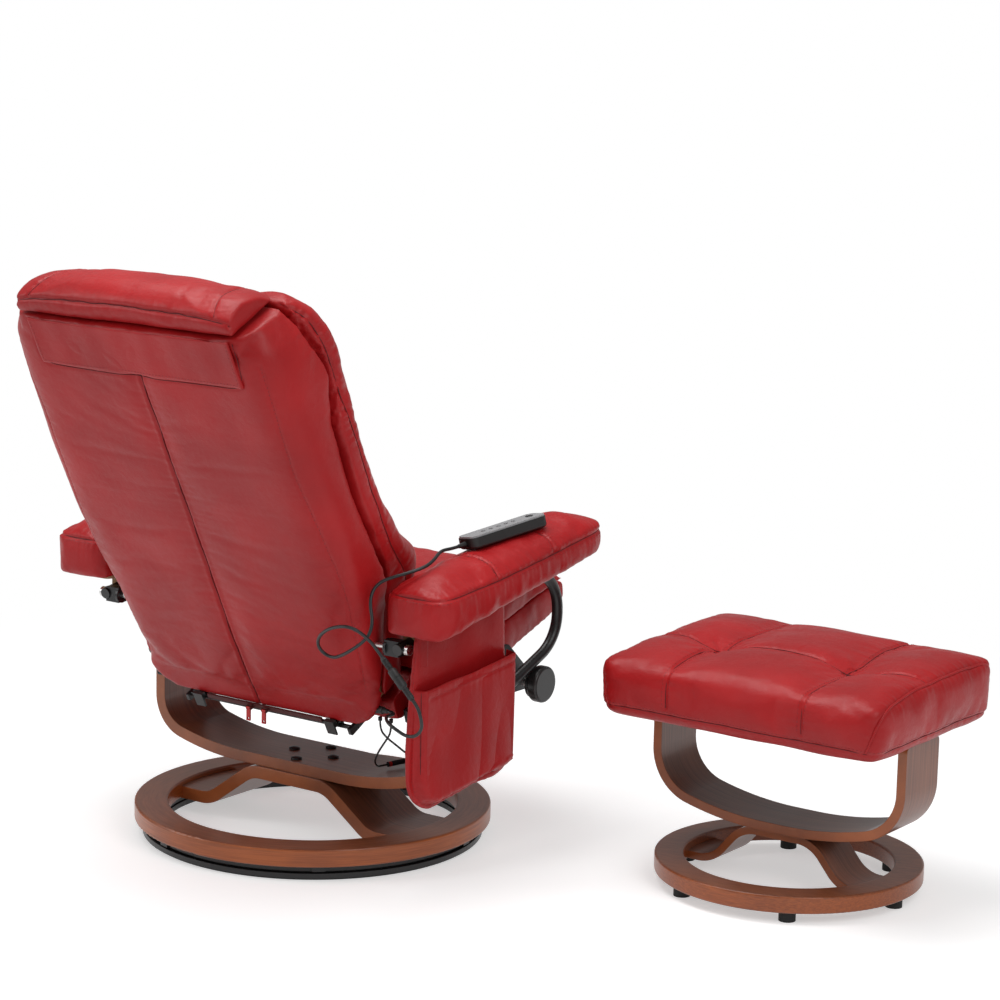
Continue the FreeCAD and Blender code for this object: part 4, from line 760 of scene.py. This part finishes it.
# Painted shade: a dark bead in the groove of the middle seam.
seam_shade_line("back_middle_seam_shade", shell, shell_seam, "backrest")
shell_rows = []
for side in (-1, 1):
    edge = [
        back_point(side * across, 2, height)
        for height, across in (
            (1000, 266), (929, 264), (870, 259), (811, 257), (740, 262), (678, 267), (620, 272), (570, 274),
            (500, 270), (440, 262), (390, 254), (350, 240),
        )
    ]
    shell_rows.append(sew(shell, edge, depth=0.0014, width=0.003, pucker=0.0006, seed=8 + side, reach=0.03))
flap_shift = -10
flap_edge = [back_point(x + flap_shift, 2, s) for x, s in (
    (-214, 1040), (-214, 1000), (-214, 962), (-205, 957), (-100, 957), (100, 957), (205, 957), (214, 962),
    (214, 1000), (214, 1040),
)]
flap_line = sew(shell, flap_edge, depth=0.0012, width=0.003, seed=12, reach=0.02)
# Painted shadow: a dark bead on the shell along the flap's lower and side edges, standing in for the shade
# under the flap.
seam_shade_line("back_flap_painted_shadow", shell, flap_line, "backrest")
dress(shell, "backrest", "back_shell", fill=0.6)
trim(stitches("back_shell_stitches", shell, shell_rows, red_thread), "backrest")


# ------------------------------------------------------------
# Back cushion. The sitter's side of the back: a foam pad under the same leather, with a middle
# panel between two bolsters that wrap round the sides and over the crest.

bolster_seam = 0.150
cushion = cover_of("back_cushion", "back_cushion_cover", 0.006, 0.004)
smoothed(cushion, 8)


def cushion_held(places):
    depth, height = back_depth_of(places)
    rear = (depth > -0.06) & (np.abs(places[:, 0]) < 0.245) & (height < 1.0)
    seams = np.exp(-((np.abs(places[:, 0]) - bolster_seam) / 0.007) ** 2) * (depth < -0.06)
    low = np.clip((0.36 - height) / 0.03, 0, 1)
    return np.clip(rear + seams + low, 0, 1)


stuffed(cushion, cushion_held, 0.009, pressure=3.5, slack=0.02)
soft_waves(cushion, 0.0012, 0.09, 11)
for side in (-1, 1):
    front_seam = [
        back_point(side * 150, -205 * share, 326 + 720 * rise)
        for rise, share in (
            (0.12, 0.70), (0.221, 0.95), (0.3, 0.93), (0.435, 0.76), (0.65, 0.78), (0.82, 0.86),
            (0.94, 0.75), (0.985, 0.62),
        )
    ]
    sew(cushion, front_seam, depth=0.004, width=0.006, pucker=0.0018, seed=20 + side, reach=0.045)
for side in (-1, 1):
    welt_line = [
        back_point(side * across, -depth, height)
        for height, across, depth in (
            (1046, 236, 110), (1010, 262, 135), (960, 276, 140), (900, 284, 135), (820, 288, 128),
            (730, 290, 122), (640, 291, 120), (560, 291, 130), (490, 288, 150), (430, 280, 150),
        )
    ]
    line = sew(cushion, welt_line, depth=0.0028, width=0.004, pucker=0.0013, seed=26 + side, reach=0.05)
    # Painted shade: a dark bead in the groove of each side seam.
    seam_shade_line("back_side_seam_%d" % side, cushion, line, "backrest")
    gather = [
        back_point(side * across, -depth, height)
        for height, across, depth in (
            (1030, 246, 112), (990, 262, 120), (940, 270, 110), (880, 280, 96), (820, 286, 86),
        )
    ]
    sew(cushion, gather, depth=0.0, width=0.004, pucker=0.0026, seed=28 + side, reach=0.06)
dress(cushion, "backrest", "back_cushion", fill=0.7)


# ------------------------------------------------------------
# Rear flap and head cushion. A stitched flap hangs from a piped band over the top of the rear
# panels, and a separate head pillow sits on the crest above it.

flap = cover_of("back_flap", "back_flap_cover", 0.0025)
set_places(flap, get_places(flap) + np.array((0.001 * flap_shift, 0, 0)))
smoothed(flap, 2)
refined(flap)
soft_waves(flap, 0.0010, 0.09, 31)
flap_side = 205
flap_rows = [
    [back_point(x + flap_shift, 8, s) for x, s in (
        (-flap_side, 1044), (-flap_side, 967), (flap_side, 967), (flap_side, 1044),
    )],
]
dress(flap, "backrest", "back_flap")
trim(stitches("back_flap_stitches", flap, flap_rows, red_thread), "backrest")

pillow = cover_of("head_cushion", "head_pillow_cover", 0.005, 0.003)
smoothed(pillow, 14)
set_places(pillow, get_places(pillow) * np.array((0.95, 1, 1)))


def pillow_held(places):
    _, height = back_depth_of(places)
    return np.clip((height < 1.050) * 1.0 + np.exp(-((np.abs(places[:, 0]) - 0.184) / 0.006) ** 2), 0, 1)


stuffed(pillow, pillow_held, 0.005, pressure=3.0, slack=0.01, calm=6)
soft_waves(pillow, 0.0007, 0.08, 33)
pillow_band = [
    back_point(x, -5, 1046 + rise)
    for x, rise in (
        (-230, 24), (-215, 29), (-180, 34), (-100, 37), (0, 38), (100, 37), (180, 34), (215, 29), (230, 24),
    )
]
band_line = sew(pillow, pillow_band, depth=0.0036, width=0.004, pucker=0.0006, seed=44, reach=0.03)
for side in (-1, 1):
    crest_seam = [
        back_point(side * across, depth, height)
        for across, depth, height in (
            (196, -6, 1088), (190, -25, 1104), (182, -60, 1106), (176, -100, 1088), (170, -136, 1060),
        )
    ]
    crest_line = sew(
        pillow, crest_seam, depth=0.0026, width=0.0034, pucker=0.0010, seed=40 + side, reach=0.04
    )
    # Painted shade: a dark bead in the groove of each cross seam.
    seam_shade_line("head_cross_seam_%d" % side, pillow, crest_line, "backrest")
dress(pillow, "backrest", "head_cushion", fill=0.8)
# Painted shade: a dark bead in the groove of the band seam.
seam_shade_line("head_band_seam_shade", pillow, band_line, "backrest")


# ------------------------------------------------------------
# Zip and hinge clips. A zip on dark red tape closes the bottom of the shell, with two red metal
# pulls, and two black plastic clips hold the seat's rear rod.

finish_nodes(
    surface("zip_tape", (0.075, 0.010, 0.010), 0.55, edge=0.0008, grain=(900, 0.0002, 0.06)), "zip_track"
)
finish_nodes(black_plastic, "hinge_clips")
red_metal = surface("red_pull", (0.42, 0.022, 0.022), 0.35, 0.4, edge=0.0005, grain=(900, 0.0001, 0.05))
finish_nodes(red_metal, "zip_pull_left", "zip_pull_right")


# ------------------------------------------------------------
# Seat. A boxed base and a softer cushion on it, both in the same leather, with a middle panel
# between two bolsters and a rolled front edge.

seat_top = cover_of("seat_cushion", "seat_cushion_cover", 0.006, 0.004)
smoothed(seat_top, 8)


def seat_held(places):
    seams = np.exp(-((np.abs(places[:, 0]) - bolster_seam) / 0.007) ** 2)
    normals = get_normals(seat_top)
    below = (normals[:, 2] < -0.6) * 1.0
    return np.clip(seams + below, 0, 1)


stuffed(seat_top, seat_held, 0.010, pressure=4.0, slack=0.03)
soft_waves(seat_top, 0.0012, 0.09, 51)
dress(seat_top, "seat", "seat_cushion", fill=0.7)
seat_box = cover_of("seat_base", "seat_base_cover", 0.006, 0.002)
smoothed(seat_box, 5)


def seat_box_held(places):
    normals = get_normals(seat_box)
    return np.clip((np.abs(normals[:, 2]) > 0.6) * 1.0, 0, 1)


stuffed(seat_box, seat_box_held, 0.006, pressure=2.5, slack=0.02)
soft_waves(seat_box, 0.0009, 0.08, 52)
dress(seat_box, "seat", "seat_base", fill=0.5)


# ------------------------------------------------------------
# Armrests. Pillow-topped pads on plywood boards, with a seam round the side under the crown and
# double cross seams over the top, fore and aft of the elbow.

arm_slope = math.tan(math.radians(10.4))


def arm_point(side, across, y, rise):
    """A point on an armrest in mm: from the inner side outward, its place fore and aft, and its rise."""
    return Vector((side * (297 + across), y, 434 + (207 - y) * arm_slope + rise)) * 0.001


arm_seam_places = (207, 150, 47, -112, -211, -262, -279)
arm_seam_rises = (66, 61, 50, 41.5, 38, 34, 31)
arm_sides = {-1: "armrest_right", 1: "armrest_left"}
for side, node in arm_sides.items():
    arm = cover_of(node, node + "_cover", 0.0045, 0.003)
    smoothed(arm, 16)
    set_places(arm, get_places(arm) + get_normals(arm) * 0.0015)
    let_down(arm, 0.004)

    def arm_held(places):
        normals = get_normals(arm)
        below = (normals[:, 2] < -0.6) * 1.0
        heights = places[:, 2] - (0.434 + (0.207 - places[:, 1]) * arm_slope)
        seam_height = 0.001 * np.interp(-places[:, 1], [-0.001 * y for y in arm_seam_places], arm_seam_rises)
        seam = np.exp(-((heights - seam_height) / 0.004) ** 2) * (np.abs(normals[:, 2]) < 0.8)
        bed = 0.0
        if node == "armrest_right":  # the handset lies here
            across = np.abs(places[:, 0] + 0.349) < 0.045
            bed = (across & (np.abs(places[:, 1] + 0.058) < 0.115) & (normals[:, 2] > 0)) * 1.0
        return np.clip(below + seam + bed, 0, 1)

    stuffed(arm, arm_held, 0.006, pressure=3.0, slack=0.015, calm=6)
    soft_waves(arm, 0.0009, 0.06, 60 + side)
    rim = [arm_point(side, -1, 150, 62), arm_point(side, 8, 200, 65), arm_point(side, 60, 209, 66)]
    rim += [arm_point(side, 112, 206, 66), arm_point(side, 128, 186, 65)]
    for y, rise in zip(arm_seam_places[1:-2], arm_seam_rises[1:-2]):
        rim.append(arm_point(side, 131, y, rise))
    rim += [arm_point(side, 126, -255, 35), arm_point(side, 100, -278, 32), arm_point(side, 60, -280, 32)]
    rim += [arm_point(side, 15, -275, 32), arm_point(side, -1, -240, 36)]
    rim_line = sew(arm, rim, depth=0.0026, width=0.0034, pucker=0.0012, seed=70 + side, reach=0.045)
    # Painted shade: a dark bead in the groove of the side seam.
    seam_shade_line(node + "_side_seam", arm, rim_line, "swivel")
    rows = [rim_line - np.array((0, 0, 0.006))]
    for number, first in enumerate((50, -108)):
        rise = np.interp(-first, [-y for y in arm_seam_places], arm_seam_rises)
        seam = [arm_point(side, across, first, 110) for across in (1, 25, 50, 80, 105, 122)]
        seam.append(arm_point(side, 131, first, rise + 14))
        seam.append(arm_point(side, 132, first, rise + 3))
        seam_line = sew(arm, seam, depth=0.0028, width=0.0034, pucker=0.0012, seed=74 + side, reach=0.035)
        # Painted shade: a dark bead in the groove of the cross seam.
        seam_shade_line(node + "_cross_seam_%d" % number, arm, seam_line, "swivel")
        rows += [seam_line + np.array((0, shift, 0)) for shift in (-0.006, 0.006)]
    dress(arm, "swivel", node, fill=0.8)
    trim(stitches(node + "_stitches", arm, rows, red_thread), "swivel")


# ------------------------------------------------------------
# Side pocket. A hanging leather pouch below the right armrest for the handset, open at its top
# edge, held by a rear strap of hook tape.

pocket = cover_of("side_pocket", "side_pocket_cover", 0.0028)
smoothed(pocket, 2)
pocket_inner, pocket_thick = 0.346, 0.029
pocket_rear, pocket_front, pocket_low = 0.190, -0.093, 0.125
pocket_corner, pocket_mouth = 0.062, 0.352


def pocket_edge(places):
    """How far each point lies inside the pocket's rear, lower and front edges."""
    rear = pocket_rear - places[:, 1]
    front = places[:, 1] - pocket_front
    low = places[:, 2] - (pocket_low + 0.034 * (0.187 - places[:, 1]) / 0.280)
    corner = pocket_corner - np.hypot(
        np.clip(pocket_corner - rear, 0, None), np.clip(pocket_corner - low, 0, None)
    )
    return np.minimum(corner, np.minimum(np.minimum(rear, low), front))


def smooth_share(value, low, high):
    share = np.clip((value - low) / (high - low), 0, 1)
    return share * share * (3 - 2 * share)


places = get_places(pocket)
outward = (-places[:, 0] - pocket_inner) / pocket_thick
inside = pocket_edge(places)
bag = 0.17 + 0.83 * smooth_share(inside, 0.013, 0.022)
low_share = smooth_share(places[:, 2], 0.150, 0.240)
bag *= 1 - 0.18 * low_share * smooth_share(places[:, 1], -0.02, 0.12)
places[:, 0] = -pocket_inner - np.clip(outward, 0, None) * pocket_thick * bag
mouth_share = smooth_share(places[:, 2], 0.25, 0.34)
places[:, 2] += 0.10 * (0.05 - places[:, 1]) * mouth_share * smooth_share(outward, 0.2, 0.6)
set_places(pocket, places)
soft_waves(pocket, 0.0026, 0.09, 81, squeeze=(1, 1, 0.22))
hem_line = [
    Vector((-0.378, y, pocket_mouth - 0.016 + 0.10 * (0.05 - y))) for y in (0.160, 0.10, 0.03, -0.04, -0.085)
]
sew(pocket, hem_line, depth=0.0012, width=0.003, pucker=0.0007, seed=83, reach=0.03)
gusset_line = [Vector((-0.374, -0.072, 0.185)), Vector((-0.372, -0.02, 0.176)), Vector((-0.372, 0.04, 0.150))]
gusset_seam = sew(pocket, gusset_line, depth=0.002, width=0.003, seed=84, reach=0.03)
# Painted shade: a dark bead in the groove of the gusset seam.
seam_shade_line("pocket_gusset_seam_shade", pocket, gusset_seam, "swivel")
border_line = [Vector((-0.352, y, z)) for y, z in (
    (0.174, 0.40), (0.180, 0.36), (0.182, 0.30), (0.182, 0.24), (0.180, pocket_low + pocket_corner),
    (0.170, pocket_low + 0.036), (0.150, pocket_low + 0.018), (0.120, pocket_low + 0.010),
    (0.05, pocket_low + 0.024), (-0.05, pocket_low + 0.036),
)]
bag_edge = [Vector((-0.362, y, z)) for y, z in (
    (0.173, 0.345), (0.173, 0.30), (0.173, 0.24), (0.171, 0.19), (0.160, 0.160), (0.135, 0.142),
    (0.10, 0.148), (0.04, 0.156), (-0.04, 0.166),
)]
bag_seam = sew(pocket, bag_edge, depth=0.002, width=0.003, pucker=0.001, seed=85)
# Painted shade: a dark bead in the groove along the bag's edge.
seam_shade_line("pocket_bag_seam_shade", pocket, bag_seam, "swivel")
pocket.data.shade_smooth()
dress(pocket, "swivel", "side_pocket")
trim(stitches("pocket_stitches", pocket, [border_line, hem_line], red_thread), "swivel")
strap = cover_of("pocket_strap", "pocket_strap_cover", 0.0025)
smoothed(strap, 2)
strap.data.shade_smooth()
dress(strap, "swivel", "pocket_strap")


# ------------------------------------------------------------
# Handset. A black two-part control with a greyish face plate, five small keys and a larger power
# key, lying in a hollow of the right armrest.

finish_nodes(black_plastic, "handset_case", "handset_relief")
finish_nodes(
    surface("face_grey", (0.34, 0.34, 0.35), 0.24, edge=0.0006, grain=(1400, 0.00005, 0.05)), "handset_face"
)
key_grey = surface("key_print", (0.22, 0.22, 0.225), 0.4, edge=0.0004, grain=(1400, 0.00005, 0.05))
finish_nodes(key_grey, *["handset_key_%d" % number for number in range(1, 6)])
finish_nodes(black_plastic, "handset_power_key")


# ------------------------------------------------------------
# Footstool. The same bent-wood ring, bridge and U-frame, smaller, with a tufted cushion on a
# board. The cushion has one long seam and two cross seams, and a boxed border.

finish_nodes(bent_wood, "stool_bridge", "stool_u_frame")
stool_wood = stained_wood(
    "cherry_stool_ring", (0.270, 0.084, 0.034), (0.150, 0.042, 0.017), (260, 30, 420), (1.5, 1.15, 0.55),
    round_ring=True,
)
finish_nodes(stool_wood, "stool_ring")
finish_nodes(soft_rubber, "stool_feet")
board_black = surface("stool_board_black", (0.02, 0.018, 0.017), 0.6, edge=0.001, grain=(300, 0.0002, 0.08))
finish_nodes(board_black, "stool_board")


def stool_point(across, along, height):
    return Vector((-800 + across, -271 + along, height)) * 0.001


stool = cover_of("stool_cushion", "stool_cushion_cover", 0.005, 0.003)
smoothed(stool, 40)
set_places(stool, get_places(stool) + get_normals(stool) * 0.004)
let_down(stool, 0.003)


def stool_held(places):
    normals = get_normals(stool)
    below = (normals[:, 2] < -0.6) * 1.0
    long_seam = np.exp(-((places[:, 1] + 0.236) / 0.005) ** 2) * (normals[:, 2] > 0.3)
    cross = np.exp(-((np.abs(places[:, 0] + 0.8) - 0.118) / 0.006) ** 2) * (normals[:, 2] > 0.2)
    return np.clip(below + long_seam + cross, 0, 1)


stuffed(stool, stool_held, 0.007, pressure=3.0, slack=0.01, calm=8)
soft_waves(stool, 0.0007, 0.08, 91)
stool_long = [stool_point(x, y, 410) for x, y in (
    (-258, 24), (-190, 30), (-123, 40), (-60, 32), (0, 29), (60, 32), (123, 40), (190, 30), (258, 24),
)]
stool_rows = []
for side in (-1, 1):
    dimple(stool, stool_point(side * 123, 40, 400), 0.075, 0.013, 0.0016, 100 + side)
long_line = sew(stool, stool_long, depth=0.0022, width=0.0034, pucker=0.0009, seed=92, reach=0.04)
# Painted shade: a dark bead in the groove of the long seam.
seam_shade_line("stool_long_seam_shade", stool, long_line, "stool")
for side in (-1, 1):
    cross = [stool_point(side * x, y, z) for x, y, z in (
        (126, 202, 318), (126, 202, 345), (126, 190, 380), (126, 120, 410), (124, 60, 410), (122, 20, 410),
        (116, -60, 410), (112, -120, 410), (110, -185, 400), (108, -203, 365), (107, -203, 320),
    )]
    cross_line = sew(stool, cross, depth=0.0024, width=0.0034, pucker=0.0010, seed=95 + side, reach=0.04)
    # Painted shade: a dark bead in the groove of each cross seam.
    seam_shade_line("stool_cross_seam_%d" % side, stool, cross_line, "stool")
    stool_rows += [cross_line + np.array((shift, 0, 0)) for shift in (-0.006, 0.006)]
    end = [stool_point(side * x, y, z) for x, y, z in (
        (240, -196, 306), (250, -196, 330), (256, -188, 372), (258, -165, 388), (258, -60, 394),
        (258, 60, 392), (258, 160, 376), (256, 188, 362), (250, 196, 330), (240, 196, 306),
    )]
    end_line = sew(stool, end, depth=0.0018, width=0.0036, pucker=0.0012, seed=103 + side, reach=0.035)
    trim(piping("stool_end_welt_%d" % side, stool, end_line, 0.0021, red_leather, lift=0.0006), "stool")
border = [stool_point(x, y, 304) for x, y in (
    (-225, -200), (0, -200), (225, -200), (255, -180), (263, 0), (255, 180), (225, 200), (0, 200),
    (-225, 200), (-255, 180), (-263, 0), (-255, -180), (-225, -200),
)]
border_seam = sew(stool, border, depth=0.0014, width=0.003, pucker=0.0005, seed=98, reach=0.03)
# Painted shade: a dark bead in the groove of the border seam.
seam_shade_line("stool_border_seam_shade", stool, border_seam, "stool")
stool_rows.append(border_seam + np.array((0, 0, 0.006)))
dress(stool, "stool", "stool_cushion", fill=0.8)
trim(stitches("stool_stitches", stool, stool_rows, red_thread), "stool")


# ------------------------------------------------------------
# Studio. A pale floor that keeps the soft shadows, a white surround, and large soft lamps.

def white_seen(name, albedo, glow, near, far):
    """Pale paper: brighter to the camera than to the light on the object, and white from afar."""
    material, nodes = blank_material(name)
    nodes.remove(nodes["Principled BSDF"])
    paper = add_node(nodes, "BsdfDiffuse", Color=(albedo, albedo, albedo, 1))
    path = add_node(nodes, "LightPath")
    seen = add_node(
        nodes, "Math", path.outputs["Is Camera Ray"], path.outputs["Is Glossy Ray"], operation="MAXIMUM",
    )
    level = add_node(nodes, "Math", seen.outputs["Value"], glow, operation="MULTIPLY")
    shine = add_node(nodes, "Emission", Strength=level.outputs["Value"])
    total = add_node(nodes, "AddShader", paper.outputs["BSDF"], shine.outputs["Emission"])
    place = add_node(nodes, "TexCoord")
    apart = add_node(
        nodes, "VectorMath", place.outputs["Object"], (-0.3, 0.1, 0), operation="DISTANCE",
    )
    away = add_node(
        nodes, "MapRange", interpolation_type="SMOOTHSTEP", From_Min=near, From_Max=far,
        Value=apart.outputs["Value"],
    )
    share = add_node(
        nodes, "Math", away.outputs["Result"], seen.outputs["Value"], operation="MULTIPLY",
    )
    clean = add_node(nodes, "Emission")
    result = add_node(
        nodes, "MixShader", share.outputs["Value"], total.outputs["Shader"], clean.outputs["Emission"],
    )
    feed(nodes["Material Output"], Surface=result.outputs["Shader"])
    return material


floor_mesh = bpy.data.meshes.new("studio_floor")
floor_mesh.from_pydata([(-14, -14, 0), (14, -14, 0), (14, 14, 0), (-14, 14, 0)], [], [(0, 1, 2, 3)])
floor_mesh.materials.append(white_seen("floor_paper", 0.80, 0.46, 0.9, 2.1))
floor = placed("studio_floor", floor_mesh)

world = bpy.data.worlds.new("studio")
bpy.context.scene.world = world
world.use_nodes = True
nodes = world.node_tree.nodes
path = add_node(nodes, "LightPath")
strength = add_node(nodes, "MapRange", To_Min=0.33, To_Max=1.0, Value=path.outputs["Is Camera Ray"])
feed(nodes["Background"], Color=(1, 1, 1, 1), Strength=strength.outputs["Result"])


def softbox(name, place, target, width, height, power):
    lamp = bpy.data.lights.new(name, "AREA")
    lamp.shape = "RECTANGLE"
    lamp.size = width
    lamp.size_y = height
    lamp.energy = power
    box = bpy.data.objects.new(name, lamp)
    box.location = place
    box.rotation_euler = (Vector(target) - Vector(place)).to_track_quat("-Z", "Y").to_euler()
    bpy.context.scene.collection.objects.link(box)


softbox("overhead_box", (0.3, 0.2, 3.2), (0, 0, 0.5), 2.0, 2.0, 60)
softbox("left_box", (2.6, 2.6, 2.1), (0, 0.2, 0.6), 1.4, 1.8, 32)
softbox("right_box", (-2.9, 1.0, 2.3), (-0.2, 0, 0.5), 1.5, 1.8, 30)

bpy.context.scene.view_settings.view_transform = "Standard"
